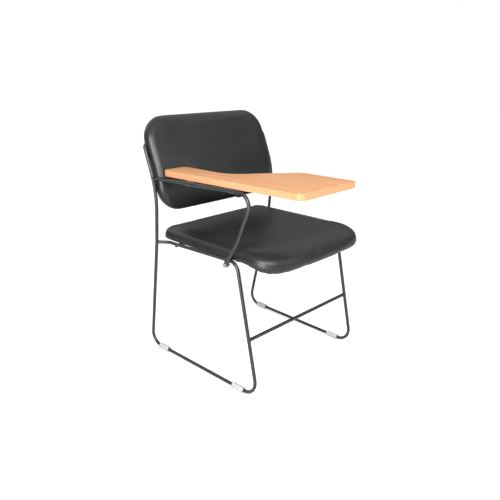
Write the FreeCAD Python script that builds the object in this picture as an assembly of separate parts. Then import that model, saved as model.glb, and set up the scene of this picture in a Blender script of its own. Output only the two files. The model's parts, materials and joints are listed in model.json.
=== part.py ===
import FreeCAD, Part
import math
import os

Vector = FreeCAD.Vector

# Student chair with a writing tablet, standing on its glides.
# +Z is up, the sitter faces -Y and the tablet is on the sitter's right, at -X.
# All lengths are in millimetres.

# Driving sizes of the bent rod frame
ROD_DIA = 11.0
ROD_HEIGHT = 9.0
FRONT_FOOT_OUTSET = 1.5
FRONT_FOOT_Y = -189.5
REAR_FOOT_OUTSET = 9.0
REAR_FOOT_Y = 330.5
RAIL_FRONT_OUTSET = 3.0
RAIL_FRONT_Y = -107.5
RAIL_FRONT_Z = 417.5
RAIL_REAR_OUTSET = 7.0
RAIL_REAR_Y = 205.5
RAIL_SLOPE_DROP = 7.0
UPRIGHT_DRAW = 1.5
UPRIGHT_SEAT_Y = 240.5
UPRIGHT_SEAT_DROP = 0.5
LUMBAR_OUTSET = 33.0
LUMBAR_Y = 221.3
LUMBAR_RISE = 73.0
BACK_LEAN = 20.8
SPIGOT_DROP = 77.0
SPIGOT_REACH = 31.0
FOOT_BEND_FRONT = 46.0
FOOT_BEND_REAR = 38.0
RAIL_BEND = 34.0
RAIL_JOG_BEND = 22.0
SEAT_LEVEL_BEND = 300.0
LUMBAR_BEND = 280.0
SPIGOT_BEND = 18.0

# Cross rods
STRETCHER_Z = 187.0
STRETCHER_SET = 0.4
SEAT_ROD_FRONT_Y = -56.5
SEAT_ROD_FRONT_DROP = 1.5
SEAT_ROD_REAR_Y = 170.5
SEAT_ROD_REAR_DROP = 4.0
SEAT_ROD_END = 2.0

# Glides on the floor runners
GLIDE_LENGTH = 46.0
GLIDE_WALL = 4.0
GLIDE_SLIT = 3.0
GLIDE_FIT = 0.1
GLIDE_FRONT_SET = 80.0
GLIDE_REAR_SET = 71.5

# Seat pad
SEAT_HALF = 234.0
SEAT_FRONT_Y = -243.5
SEAT_BOW = 12.0
SEAT_REAR_Y = 261.5
SEAT_REAR_RISE = 27.2
SEAT_FRONT_RISE = 28.2
SEAT_CROWN = 6.0
SEAT_NOSE_DROP = 8.8
SEAT_FALL = 105.0
SEAT_LIP_DROP = 27.3
FALL_STEPS = 4
ROLL_STEPS = 2
SEAT_LIP_ROLL = 15.0
SEAT_LIP_DEPTH = 92.0
SEAT_FRONT_CORNER = 82.0
SEAT_REAR_CORNER = 34.0
SEAT_SIDE_ROLL = 30.0
SEAT_SIDE_LAND = 15.5
SEAT_EDGE_DRAW = 1.5
SEAT_REAR_DRAW = 4.0
SEAT_SHOULDER = 24.0
SEAT_BOARD_T = 12.0
SEAT_BOARD_MARGIN = 30.0
SEAT_BOARD_FRONT_Y = -134.5
SEAT_BOARD_REAR_Y = 235.5
SEAT_BOARD_CORNER = 30.0

# Back pad, in layers across the plane of the uprights
BACK_ROD_GAP = 4.5
BACK_SEAT_GAP = 58.0
BACK_HEIGHT = 294.0
BACK_CORNER = 82.0
BACK_FACE = 19.0
BACK_CROWN = 8.8
BACK_RIM = 16.0
BACK_SIDE_ROLL = 30.0
BACK_SIDE_LAND = 9.0
BACK_SIDE_RIM = 14.5
BACK_ARCS = 3
RIM_HOLLOW = 0.3
RIM_SINK = 1.2
BACK_END_ROLL = 18.0
BACK_BOARD_FRONT = 6.0
BACK_BOARD_T = 8.8
BACK_BOARD_MARGIN = 15.0
BACK_COVER_T = 4.0
BACK_COVER_MARGIN = 8.0

# Clearances
SOFT_GAP = 0.3
SEAM_GAP = 0.3
HOLE_GAP = 0.2
OVERRUN = 40.0

# Screw plates and their fasteners
PLATE_T = 3.0
SEAT_PLATE_W = 30.0
SEAT_PLATE_REACH = 34.0
SEAT_PLATE_X = 125.0
SEAT_PLATE_LAP = 1.5
SEAT_PLATE_DROP = 2.0
SEAT_SCREW_SET = 21.0
BACK_PLATE_H = 26.0
BACK_PLATE_REACH = 56.0
BACK_PLATE_LOW_SET = 81.0
BACK_PLATE_HIGH_SET = 111.0
BACK_SCREW_SET = 44.0
BACK_PLATE_STEP = 6.3
SCREW_R = 3.0
SCREW_HEAD_R = 5.6
SCREW_HEAD_H = 3.2
SCREW_TIP = 2.0
SOCKET_R = 1.9
SOCKET_DEPTH = 1.8
TEE_BARREL_R = 4.0
TEE_FLANGE_R = 9.0
TEE_FLANGE_T = 1.4

# Arm rod that carries the tablet
ARM_RISE = 169.7
ARM_REAR_SET = 5.0
ARM_REAR_Y = 208.5
ARM_REAR_RUN = 32.0
ARM_FRONT_INSET = 11.0
ARM_FRONT_Y = -163.5
ARM_FRONT_BEND = 38.0
ARM_KINK_OUTSET = 7.0
ARM_KINK_Y = -115.5
ARM_KINK_RISE = 56.2
ARM_KINK_BEND = 90.0
ARM_END_Y = -86.5
ARM_END_RISE = 4.2
ARM_BOLT_Y = -72.5
ARM_BOLT_DROP = 17.8
EYE_T = 5.0
EYE_HALF_W = 6.8
LUG_T = 4.0
LUG_HALF_W = 6.8
LUG_TOP_DROP = 5.8
LUG_SINK = 2.2
BOLT_R = 3.0
BOLT_HEAD_R = 5.4
HEXAGON_SIDES = 6
BOLT_HEAD_H = 3.6
WASHER_R = 6.2
WASHER_T = 1.2
NUT_R = 5.7
NUT_H = 4.6
BOLT_END = 2.4

# Writing tablet
TABLET_T = 18.15
TABLET_EDGE_T = 2.0
LAMINATE_T = 0.8
TABLET_FRONT_Y = -326.5
TABLET_REAR_Y = 214.5
TABLET_FRONT_EDGE_SET = 3.5
TABLET_REAR_EDGE_SET = 17.5
TABLET_W = 236.5
TABLET_ARM_W = 87.5
TABLET_SHOULDER_Y = -129.5
TABLET_NECK_Y = 10.5
TABLET_FRONT_OUTER_R = 20.0
TABLET_FRONT_INNER_R = 13.0
TABLET_SHOULDER_R = 34.0
TABLET_NECK_R = 105.0
TABLET_REAR_INNER_R = 24.0
TABLET_REAR_OUTER_R = 16.0

# Hinge eyes under the tablet and their stops
HINGE_FIT = 0.05
HINGE_LEAF_T = 1.6
HINGE_EYE_W = 24.0
HINGE_LEAF_REACH = 44.0
HINGE_SCREW_SHARES = (0.55, 0.84)
HINGE_SLIT = 0.8
HINGE_FRONT_Y = -90.5
HINGE_REAR_Y = 75.5
COLLAR_W = 6.0
COLLAR_T = 1.5
COLLAR_PLAY = 0.3
COLLAR_FIT = 0.05
STOP_BAR_W = 16.0
STOP_BAR_T = 5.0
STOP_BAR_REACH = 66.0
STOP_BAR_FRONT_Y = -38.5
STOP_BAR_REAR_Y = 115.5
BUMPER_R = 7.5
BUMPER_SET = 52.0
BUMPER_EDGE = 1.5
BUMPER_PLAY = 0.1
BUMPER_STEM_R = 2.6
OPEN_ANGLE = 110.0
OPEN_STOP_Y = -116.5
OPEN_STOP_W = 10.0
OPEN_STOP_REACH = 13.0
OPEN_STOP_T = 4.0
OPEN_STOP_PLAY = 0.25
WOOD_SCREW_R = 2.0
WOOD_SCREW_HEAD_R = 4.0
WOOD_SCREW_HEAD_H = 1.8
WOOD_SCREW_LENGTH = 13.0
WOOD_SCREW_FIT = 0.05

# Shares of a pad's half width, side roll and corner at which its sections stand
ROLL_SHARES = (0.0, 0.38, 0.71, 0.92, 1.0)
CORNER_SHARES = (0.0, 0.5)
SEAT_MIDDLE_SHARE = 0.32
BACK_MIDDLE_SHARE = 0.30
ARC_MIDDLE_SHARE = 0.5
BULGE_SHARE = 0.24
CROWN_FALL_SHARE = 0.9
RIGHT_ANGLE = 90.0

# Values worked out from the driving sizes
ROD_R = ROD_DIA / 2
RAIL_REAR_Z = RAIL_FRONT_Z - RAIL_SLOPE_DROP
UPRIGHT_SEAT_Z = RAIL_REAR_Z - UPRIGHT_SEAT_DROP
SEAT_ROD_FRONT_Z = RAIL_FRONT_Z - SEAT_ROD_FRONT_DROP
SEAT_ROD_REAR_Z = RAIL_REAR_Z - SEAT_ROD_REAR_DROP
SEAT_BOARD_Z = SEAT_ROD_FRONT_Z + ROD_R + SEAM_GAP
SEAT_REAR_TOP_Z = SEAT_BOARD_Z + SEAT_REAR_RISE
SEAT_FRONT_TOP_Z = SEAT_BOARD_Z + SEAT_FRONT_RISE
SEAT_NOSE_Z = SEAT_BOARD_Z - SEAT_NOSE_DROP
SEAT_LIP_Z = SEAT_BOARD_Z - SEAT_LIP_DROP
BACK_LOW_Z = SEAT_REAR_TOP_Z + BACK_SEAT_GAP
BACK_TOP_Z = BACK_LOW_Z + BACK_HEIGHT
SPIGOT_Z = BACK_TOP_Z - SPIGOT_DROP
BACK_PLATE_LOW_Z = BACK_LOW_Z + BACK_PLATE_LOW_SET
BACK_PLATE_HIGH_Z = BACK_TOP_Z - BACK_PLATE_HIGH_SET
LUMBAR_Z = BACK_LOW_Z + LUMBAR_RISE
ARM_Z = SEAT_FRONT_TOP_Z + ARM_RISE
ARM_KINK_Z = SEAT_BOARD_Z + ARM_KINK_RISE
ARM_END_Z = SEAT_BOARD_Z + ARM_END_RISE
ARM_BOLT_Z = SEAT_BOARD_Z - ARM_BOLT_DROP
LUG_TOP_Z = SEAT_BOARD_Z - LUG_TOP_DROP
BOARD_UNDER_Z = ARM_Z + ROD_R + HINGE_FIT + HINGE_LEAF_T
TABLET_TOP_Z = BOARD_UNDER_Z + TABLET_T
RAIL_FRONT_HALF = SEAT_HALF + RAIL_FRONT_OUTSET
RAIL_REAR_HALF = SEAT_HALF + RAIL_REAR_OUTSET
FRONT_FOOT_HALF = RAIL_FRONT_HALF + FRONT_FOOT_OUTSET
REAR_FOOT_HALF = RAIL_REAR_HALF + REAR_FOOT_OUTSET
LUMBAR_HALF = SEAT_HALF + LUMBAR_OUTSET
SEAT_BOARD_HALF = SEAT_HALF - SEAT_BOARD_MARGIN
UPRIGHT_SEAT_HALF = LUMBAR_HALF - UPRIGHT_DRAW
SPIGOT_HALF = LUMBAR_HALF - UPRIGHT_DRAW
BACK_HALF = LUMBAR_HALF - ROD_R - BACK_ROD_GAP
ARM_REAR_X = ARM_REAR_SET - LUMBAR_HALF
ARM_FRONT_X = ARM_FRONT_INSET - SEAT_HALF
ARM_KINK_X = -SEAT_HALF - ARM_KINK_OUTSET
TABLET_OUTER_FRONT_X = ARM_FRONT_X + TABLET_FRONT_EDGE_SET
TABLET_OUTER_REAR_X = ARM_REAR_X + TABLET_REAR_EDGE_SET
TABLET_INNER_X = TABLET_OUTER_FRONT_X + TABLET_W
TABLET_ARM_INNER_X = TABLET_OUTER_REAR_X + TABLET_ARM_W
TABLET_CORE_T = TABLET_T - LAMINATE_T
LEAN = math.radians(BACK_LEAN)
LUMBAR_SLOPE = (LUMBAR_Y - UPRIGHT_SEAT_Y) / (LUMBAR_Z - UPRIGHT_SEAT_Z)
LOW_LEAN = math.atan(LUMBAR_SLOPE)
BEND_HALF = (LEAN - LOW_LEAN) / 2
COVER_NEAR = BACK_RIM - RIM_SINK + SOFT_GAP
X_AXIS = Vector(1, 0, 0)
Y_AXIS = Vector(0, 1, 0)
Z_AXIS = Vector(0, 0, 1)


def corner_arc(before, corner, after, radius):
    """The two tangent points and the middle of the arc that rounds a corner."""
    back = (before - corner).normalize()
    ahead = (after - corner).normalize()
    half = back.getAngle(ahead) / 2
    reach = radius / math.tan(half)
    bisector = (back + ahead).normalize()
    centre = corner + bisector * (radius / math.sin(half))
    middle = centre - bisector * radius
    return corner + back * reach, middle, corner + ahead * reach


def open_path(points, radii):
    """A wire of straight runs joined by tangent arcs, one radius for each inner point."""
    edges = []
    start = points[0]
    for number, radius in enumerate(radii):
        first, middle, last = corner_arc(points[number], points[number + 1], points[number + 2], radius)
        edges.append(Part.LineSegment(start, first).toShape())
        edges.append(Part.Arc(first, middle, last).toShape())
        start = last
    edges.append(Part.LineSegment(start, points[-1]).toShape())
    return Part.Wire(edges)


def closed_outline(points, radii):
    """A closed flat wire whose corners are rounded, one radius for each point."""
    count = len(points)
    arcs = []
    for number in range(count):
        arcs.append(corner_arc(points[number - 1], points[number], points[(number + 1) % count], radii[number]))
    edges = []
    for number in range(count):
        first, middle, last = arcs[number]
        edges.append(Part.Arc(first, middle, last).toShape())
        edges.append(Part.LineSegment(last, arcs[(number + 1) % count][0]).toShape())
    return Part.Wire(edges)


def bent_rod(points, radii, radius=ROD_R):
    """A round rod swept along straight runs and bends."""
    path = open_path(points, radii)
    ring = Part.Wire([Part.Circle(points[0], points[1] - points[0], radius).toShape()])
    return path.makePipeShell([ring], True, False)


def straight_rod(start, end, radius=ROD_R):
    """A round rod between two points."""
    run = end - start
    return Part.makeCylinder(radius, run.Length, start, run)


def box_between(low, high):
    """A box from its lowest corner to its highest."""
    return Part.makeBox(high.x - low.x, high.y - low.y, high.z - low.z, low)


def mirrored(shape):
    """The same piece on the other side of the chair."""
    return shape.mirror(Vector(0, 0, 0), X_AXIS)


def save(node, shapes):
    """Write one sub-part, as one solid or as a group of separate solids."""
    whole = shapes if isinstance(shapes, Part.Shape) else Part.makeCompound(shapes)
    whole.exportStep("parts/" + node + ".step")
    print(node, len(whole.Solids), whole.isValid(), round(whole.Volume))


def upright_point(z):
    """Half spacing and Y of the upright's centre line at a height above the lumbar bend."""
    share = (z - LUMBAR_Z) / (SPIGOT_Z - LUMBAR_Z)
    half = LUMBAR_HALF + (SPIGOT_HALF - LUMBAR_HALF) * share
    return Vector(-half, LUMBAR_Y + (z - LUMBAR_Z) * math.tan(LEAN), z)


def foot_rear():
    """Corner point where the rear leg's line meets the runner's line."""
    return Vector(-REAR_FOOT_HALF, REAR_FOOT_Y, ROD_HEIGHT)


def foot_front():
    """Corner point where the front leg's line meets the runner's line."""
    return Vector(-FRONT_FOOT_HALF, FRONT_FOOT_Y, ROD_HEIGHT)


def runner_point(share):
    """A point on the runner, from the front foot at 0 to the rear foot at 1."""
    return foot_front() + (foot_rear() - foot_front()) * share


def spigot_points(reach):
    """The line of the upright's top end, from a depth inside the back pad down to the lumbar bend."""
    top = upright_point(SPIGOT_Z)
    return [Vector(reach - BACK_HALF, top.y, top.z), top, Vector(-LUMBAR_HALF, LUMBAR_Y, LUMBAR_Z)]


def rear_half_of_frame():
    """Spigot, upright, rear leg and the rear half of the runner, bent from one rod."""
    seat_level = Vector(-UPRIGHT_SEAT_HALF, UPRIGHT_SEAT_Y, UPRIGHT_SEAT_Z)
    points = spigot_points(SPIGOT_REACH) + [seat_level, foot_rear(), runner_point(ARC_MIDDLE_SHARE)]
    return bent_rod(points, [SPIGOT_BEND, LUMBAR_BEND, SEAT_LEVEL_BEND, FOOT_BEND_REAR])


def front_half_of_frame():
    """Front half of the runner, front leg and seat rail, which jogs out to the upright."""
    rail_front = Vector(-RAIL_FRONT_HALF, RAIL_FRONT_Y, RAIL_FRONT_Z)
    rail_rear = Vector(-RAIL_REAR_HALF, RAIL_REAR_Y, RAIL_REAR_Z)
    seat_level = Vector(-UPRIGHT_SEAT_HALF, UPRIGHT_SEAT_Y, UPRIGHT_SEAT_Z)
    points = [runner_point(ARC_MIDDLE_SHARE), foot_front(), rail_front, rail_rear, seat_level]
    return bent_rod(points, [FOOT_BEND_FRONT, RAIL_BEND, RAIL_JOG_BEND])


def side_frame():
    """One side of the frame, a single rod that closes on its own upright with a weld."""
    return rear_half_of_frame().fuse(front_half_of_frame()).removeSplitter()


def leg_point(z):
    """Centre of the front leg at a height."""
    share = (z - ROD_HEIGHT) / (RAIL_FRONT_Z - ROD_HEIGHT)
    rail_front = Vector(-RAIL_FRONT_HALF, RAIL_FRONT_Y, RAIL_FRONT_Z)
    return foot_front() + (rail_front - foot_front()) * share


def rail_half(y):
    """Distance of the seat rail's centre line from the middle of the chair."""
    share = (y - RAIL_FRONT_Y) / (RAIL_REAR_Y - RAIL_FRONT_Y)
    return RAIL_FRONT_HALF + (RAIL_REAR_HALF - RAIL_FRONT_HALF) * share


def cross_rod(half, y, z, frames):
    """A straight rod between the two sides, its ends shaped to the rods that it is welded to."""
    rod = straight_rod(Vector(-half, y, z), Vector(half, y, z))
    for frame in frames:
        rod = rod.cut(frame)
    return max(rod.Solids, key=lambda solid: solid.Volume)


def glide(centre):
    """A snap-on glide: a slit sleeve round the runner with a flat underside."""
    along = (foot_rear() - foot_front()).normalize()
    start = centre - along * (GLIDE_LENGTH / 2)
    outer = Part.makeCylinder(ROD_R + GLIDE_FIT + GLIDE_WALL, GLIDE_LENGTH, start, along)
    base = Vector(start.x - OVERRUN, start.y - OVERRUN, -OVERRUN)
    floor = Part.makeBox(OVERRUN * 2, GLIDE_LENGTH + OVERRUN * 2, OVERRUN, base)
    bore = Part.makeCylinder(ROD_R + GLIDE_FIT, GLIDE_LENGTH + OVERRUN * 2, start - along * OVERRUN, along)
    slit_low = Vector(centre.x - GLIDE_SLIT / 2, centre.y - OVERRUN, centre.z)
    slit = Part.makeBox(GLIDE_SLIT, OVERRUN * 2, OVERRUN, slit_low)
    slit.rotate(centre, Z_AXIS, math.degrees(math.atan2(-along.x, along.y)))
    return outer.cut(floor).cut(bore).cut(slit)


def corner_inset(distance, half, corner):
    """How far a rounded plan corner draws an edge in, at a distance from the middle."""
    into = max(0.0, distance - (half - corner))
    return corner - math.sqrt(max(0.0, corner * corner - into * into))


def stations(half, roll, corner, middle_share):
    """Distances from the middle at which a pad's sections stand, both sides alike."""
    values = [0.0, half * middle_share]
    values += [half - corner + (corner - roll) * share for share in CORNER_SHARES]
    values += [half - roll + roll * share for share in ROLL_SHARES]
    return sorted([-value for value in values if value > 0] + values)


def pad_loft(sections):
    """A closed body through a pad's sections, straight from each to the next."""
    return Part.makeLoft(sections, True, True)


def swell(share):
    """A rise from 0 at both ends of a run to 1 at its middle."""
    return 1 - (2 * share - 1) ** 2


def arc_chain(points):
    """Arcs through points, each arc taking three of them in turn."""
    return [Part.Arc(*points[number : number + 3]).toShape() for number in range(0, len(points) - 2, 2)]


def quarter(centre, reach, rise, first, last, steps):
    """Points on an ellipse in a Y and Z plane, between two angles from the -Y direction."""
    points = []
    for number in range(steps + 1):
        turn = math.radians(first + (last - first) * number / steps)
        points.append(centre + Vector(0, -reach * math.cos(turn), rise * math.sin(turn)))
    return points


def seat_section(x):
    """The seat pad's outline at a distance from the middle, with its rolled front."""
    away = abs(x)
    bow = SEAT_BOW * (away / SEAT_HALF) ** 2
    front = SEAT_FRONT_Y + bow + corner_inset(away, SEAT_HALF, SEAT_FRONT_CORNER)
    rear = SEAT_REAR_Y - corner_inset(away, SEAT_HALF, SEAT_REAR_CORNER)
    into = max(0.0, away - (SEAT_HALF - SEAT_SIDE_ROLL)) / SEAT_SIDE_ROLL
    full = math.sqrt(max(0.0, 1 - into * into))
    crown = SEAT_CROWN * (1 - CROWN_FALL_SHARE * (away / SEAT_HALF) ** 2)
    low = SEAT_BOARD_Z + SEAT_EDGE_DRAW * (1 - full)
    side_top = SEAT_BOARD_Z + SEAT_EDGE_DRAW + SEAT_SIDE_LAND
    rear_top_z = side_top + (SEAT_REAR_TOP_Z - side_top) * full
    front_top_z = side_top + (SEAT_FRONT_TOP_Z - side_top) * full
    lip = low - (SEAT_BOARD_Z - SEAT_LIP_Z) * full
    nose_z = (low + side_top) / 2 * (1 - full) + SEAT_NOSE_Z * full
    rear_low = Vector(x, rear - SEAT_REAR_DRAW, low)
    rear_mid = Vector(x, rear, (low + rear_top_z) / 2)
    rear_top = Vector(x, rear - SEAT_SHOULDER, rear_top_z)
    fall_centre = Vector(x, front + SEAT_FALL, nose_z)
    fall = quarter(fall_centre, SEAT_FALL, front_top_z - nose_z, RIGHT_ANGLE, 0.0, FALL_STEPS)
    lip_centre = Vector(x, front + SEAT_LIP_ROLL, nose_z)
    roll = quarter(lip_centre, SEAT_LIP_ROLL, nose_z - lip, 0.0, -RIGHT_ANGLE, ROLL_STEPS)
    mid_y = (rear_top.y + fall[0].y) / 2
    top_mid = Vector(x, mid_y, (rear_top_z + front_top_z) / 2 + crown)
    lip_back = Vector(x, front + SEAT_LIP_DEPTH, low)
    edges = [
        Part.Arc(rear_low, rear_mid, rear_top).toShape(),
        Part.Arc(rear_top, top_mid, fall[0]).toShape(),
    ]
    edges += arc_chain(fall) + arc_chain(roll)
    edges.append(Part.LineSegment(roll[-1], lip_back).toShape())
    edges.append(Part.LineSegment(lip_back, rear_low).toShape())
    return Part.Wire(edges)


def plan_board(half, front, rear, corner, low, thickness):
    """A flat board with rounded corners."""
    points = [
        Vector(-half, front, low),
        Vector(half, front, low),
        Vector(half, rear, low),
        Vector(-half, rear, low),
    ]
    return Part.Face(closed_outline(points, [corner] * len(points))).extrude(Z_AXIS * thickness)


def seat_plate_spots():
    """Centres of the seat's four screws."""
    spots = []
    for y in (SEAT_ROD_FRONT_Y, SEAT_ROD_REAR_Y):
        for side in (-1, 1):
            spots.append(Vector(side * SEAT_PLATE_X, y + SEAT_SCREW_SET, SEAT_BOARD_Z))
    return spots


def seat_board():
    """Plywood seat board, drilled for its tee nuts."""
    board = plan_board(
        SEAT_BOARD_HALF, SEAT_BOARD_FRONT_Y, SEAT_BOARD_REAR_Y, SEAT_BOARD_CORNER, SEAT_BOARD_Z, SEAT_BOARD_T
    )
    for spot in seat_plate_spots():
        board = board.cut(Part.makeCylinder(TEE_BARREL_R + HOLE_GAP, SEAT_BOARD_T, spot))
        seat = spot + Z_AXIS * (SEAT_BOARD_T - TEE_FLANGE_T)
        board = board.cut(Part.makeCylinder(TEE_FLANGE_R + HOLE_GAP, OVERRUN, seat))
    return board


def seat_cushion():
    """Foam and leatherette seat pad that wraps its board."""
    places = stations(SEAT_HALF, SEAT_SIDE_ROLL, SEAT_FRONT_CORNER, SEAT_MIDDLE_SHARE)
    pad = pad_loft([seat_section(x) for x in places])
    pocket = plan_board(
        SEAT_BOARD_HALF + SOFT_GAP,
        SEAT_BOARD_FRONT_Y - SOFT_GAP,
        SEAT_BOARD_REAR_Y + SOFT_GAP,
        SEAT_BOARD_CORNER,
        SEAT_BOARD_Z - OVERRUN,
        OVERRUN + SEAT_BOARD_T + SOFT_GAP,
    )
    return pad.cut(pocket)


def seat_plates(rods):
    """Small angle plates welded to the cross rods, their tops flush under the board."""
    plates = []
    for spot in seat_plate_spots():
        front = spot.y < 0
        rod_y = SEAT_ROD_FRONT_Y if front else SEAT_ROD_REAR_Y
        rod_z = SEAT_ROD_FRONT_Z if front else SEAT_ROD_REAR_Z
        left = spot.x - SEAT_PLATE_W / 2
        right = spot.x + SEAT_PLATE_W / 2
        start_y = rod_y + ROD_R - SEAT_PLATE_LAP
        leg = box_between(
            Vector(left, start_y, rod_z - SEAT_PLATE_DROP), Vector(right, start_y + PLATE_T, SEAT_BOARD_Z)
        )
        flange = box_between(
            Vector(left, start_y, SEAT_BOARD_Z - PLATE_T), Vector(right, rod_y + SEAT_PLATE_REACH, SEAT_BOARD_Z)
        )
        plate = leg.fuse(flange).removeSplitter()
        hole = Part.makeCylinder(SCREW_R + HOLE_GAP, PLATE_T, spot - Z_AXIS * PLATE_T)
        for rod in rods:
            plate = plate.cut(rod)
        plates.append(plate.cut(hole))
    return plates


def tee_nut(face, inward, depth):
    """A tee nut sunk in a board: face is the board's inner surface, inward points to the screw."""
    flange = Part.makeCylinder(TEE_FLANGE_R, TEE_FLANGE_T, face, inward)
    barrel = Part.makeCylinder(TEE_BARREL_R, depth - TEE_FLANGE_T, face, inward)
    bore = Part.makeCylinder(SCREW_R + HOLE_GAP, depth, face, inward)
    return flange.fuse(barrel).cut(bore).removeSplitter()


def machine_screw(seat, inward, length):
    """A pan head screw with a hexagon socket: seat is under its head."""
    shank = Part.makeCylinder(SCREW_R, length, seat, inward)
    head = Part.makeCylinder(SCREW_HEAD_R, SCREW_HEAD_H, seat, inward * -1)
    outer = max(head.Edges, key=lambda edge: (edge.CenterOfMass - seat).dot(inward * -1))
    head = head.makeChamfer(SCREW_HEAD_H / 3, [outer])
    socket = Part.makeCylinder(
        SOCKET_R, SOCKET_DEPTH, seat - inward * (SCREW_HEAD_H - SOCKET_DEPTH), inward * -1
    )
    return head.fuse(shank).cut(socket).removeSplitter()


def back_point(along, across, x):
    """A point of the back pad: along its bent face from the lumbar corner, and across it to the rear."""
    tangent = LUMBAR_BEND * math.tan(BEND_HALF)
    arc = LUMBAR_BEND * 2 * BEND_HALF
    if along < -tangent:
        lean = LOW_LEAN
        y = LUMBAR_Y + along * math.sin(LOW_LEAN)
        z = LUMBAR_Z + along * math.cos(LOW_LEAN)
    elif along > arc - tangent:
        lean = LEAN
        beyond = along - arc + 2 * tangent
        y = LUMBAR_Y + beyond * math.sin(LEAN)
        z = LUMBAR_Z + beyond * math.cos(LEAN)
    else:
        lean = LOW_LEAN + (along + tangent) / LUMBAR_BEND
        start_y = LUMBAR_Y - tangent * math.sin(LOW_LEAN)
        start_z = LUMBAR_Z - tangent * math.cos(LOW_LEAN)
        centre_y = start_y + LUMBAR_BEND * math.cos(LOW_LEAN)
        centre_z = start_z - LUMBAR_BEND * math.sin(LOW_LEAN)
        y = centre_y - LUMBAR_BEND * math.cos(lean)
        z = centre_z + LUMBAR_BEND * math.sin(lean)
    return Vector(x, y + across * math.cos(lean), z - across * math.sin(lean))


def along_at_height(z):
    """Distance along the back's bent face, from the lumbar corner, at a height on its centre line."""
    tangent = LUMBAR_BEND * math.tan(BEND_HALF)
    arc = LUMBAR_BEND * 2 * BEND_HALF
    low = (z - LUMBAR_Z) / math.cos(LOW_LEAN)
    high = (z - LUMBAR_Z) / math.cos(LEAN) + arc - 2 * tangent
    if low < -tangent:
        return low
    if high > arc - tangent:
        return high
    start_z = LUMBAR_Z - tangent * math.cos(LOW_LEAN)
    centre_z = start_z - LUMBAR_BEND * math.sin(LOW_LEAN)
    lean = math.asin((z - centre_z) / LUMBAR_BEND)
    return (lean - LOW_LEAN) * LUMBAR_BEND - tangent


def bend_span():
    """Where the lumbar arc starts, has its middle and ends, along the back's face."""
    tangent = LUMBAR_BEND * math.tan(BEND_HALF)
    arc = LUMBAR_BEND * 2 * BEND_HALF
    return -tangent, arc / 2 - tangent, arc - tangent


def back_section(x):
    """The back pad's outline at a distance from the middle."""
    away = abs(x)
    inset = corner_inset(away, BACK_HALF, BACK_CORNER)
    into = max(0.0, away - (BACK_HALF - BACK_SIDE_ROLL)) / BACK_SIDE_ROLL
    roll = 1 - math.sqrt(max(0.0, 1 - into * into))
    low = along_at_height(BACK_LOW_Z) + inset
    top = along_at_height(BACK_TOP_Z) - inset
    face = -BACK_FACE + (BACK_FACE - BACK_SIDE_LAND) * roll
    rim = BACK_RIM + (BACK_SIDE_RIM - BACK_RIM) * roll
    rise = BACK_CROWN * (1 - CROWN_FALL_SHARE * (away / BACK_HALF) ** 2)
    end_roll = BACK_END_ROLL * (1 - roll) + BACK_SIDE_LAND * roll
    rim_roll = BACK_END_ROLL * BULGE_SHARE
    nose = (face + rim) / 2
    shares = [number / (2 * BACK_ARCS) for number in range(2 * BACK_ARCS + 1)]
    run = top - low - 2 * end_roll
    front = [back_point(low + end_roll + run * share, face - rise * swell(share), x) for share in shares]
    run = top - low - 2 * rim_roll
    rear = [back_point(top - rim_roll - run * share, rim - RIM_HOLLOW * swell(share), x) for share in shares]
    edges = arc_chain(front)
    edges.append(Part.Arc(front[-1], back_point(top, nose, x), rear[0]).toShape())
    edges += arc_chain(rear)
    edges.append(Part.Arc(rear[-1], back_point(low, nose, x), front[0]).toShape())
    return Part.Wire(edges)


def bent_face(across, low, top, x):
    """Edges along the back's bent line at one distance across it, from below to above."""
    start, bend, end = bend_span()
    return [
        Part.LineSegment(back_point(low, across, x), back_point(start, across, x)).toShape(),
        Part.Arc(back_point(start, across, x), back_point(bend, across, x), back_point(end, across, x)).toShape(),
        Part.LineSegment(back_point(end, across, x), back_point(top, across, x)).toShape(),
    ]


def back_panel(margin, near, far):
    """A panel bent to the uprights' line, between two distances across them, with rounded corners."""
    low = along_at_height(BACK_LOW_Z) + margin
    top = along_at_height(BACK_TOP_Z) - margin
    half = BACK_HALF - margin
    below = low - OVERRUN
    above = top + OVERRUN
    ends = [(back_point(along, near, -half), back_point(along, far, -half)) for along in (below, above)]
    edges = bent_face(near, below, above, -half) + bent_face(far, below, above, -half)
    edges += [Part.LineSegment(first, last).toShape() for first, last in ends]
    outline = Part.Wire(Part.__sortEdges__(edges))
    strip = Part.Face(outline).extrude(X_AXIS * (2 * half))
    depth = strip.BoundBox.YLength + 2 * OVERRUN
    start_y = strip.BoundBox.YMin - OVERRUN
    floor = back_point(low, near, 0).z
    ceiling = back_point(top, near, 0).z
    points = [
        Vector(-half, start_y, floor),
        Vector(half, start_y, floor),
        Vector(half, start_y, ceiling),
        Vector(-half, start_y, ceiling),
    ]
    radii = [BACK_CORNER - margin] * len(points)
    return strip.common(Part.Face(closed_outline(points, radii)).extrude(Y_AXIS * depth))


def back_plate_places():
    """Heights and sides of the four plates that hold the back."""
    return [(side, z) for z in (BACK_PLATE_LOW_Z, BACK_PLATE_HIGH_Z) for side in (-1, 1)]


def back_normal(z):
    """Unit vector across the back, towards the rear, at a height."""
    along = along_at_height(z)
    return (back_point(along, ROD_R, 0) - back_point(along, 0, 0)).normalize()


def back_screw_spot(side, z, across):
    """A point on a back screw's axis, at a distance across the back."""
    return back_point(along_at_height(z), across, side * (LUMBAR_HALF - BACK_SCREW_SET))


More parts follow.
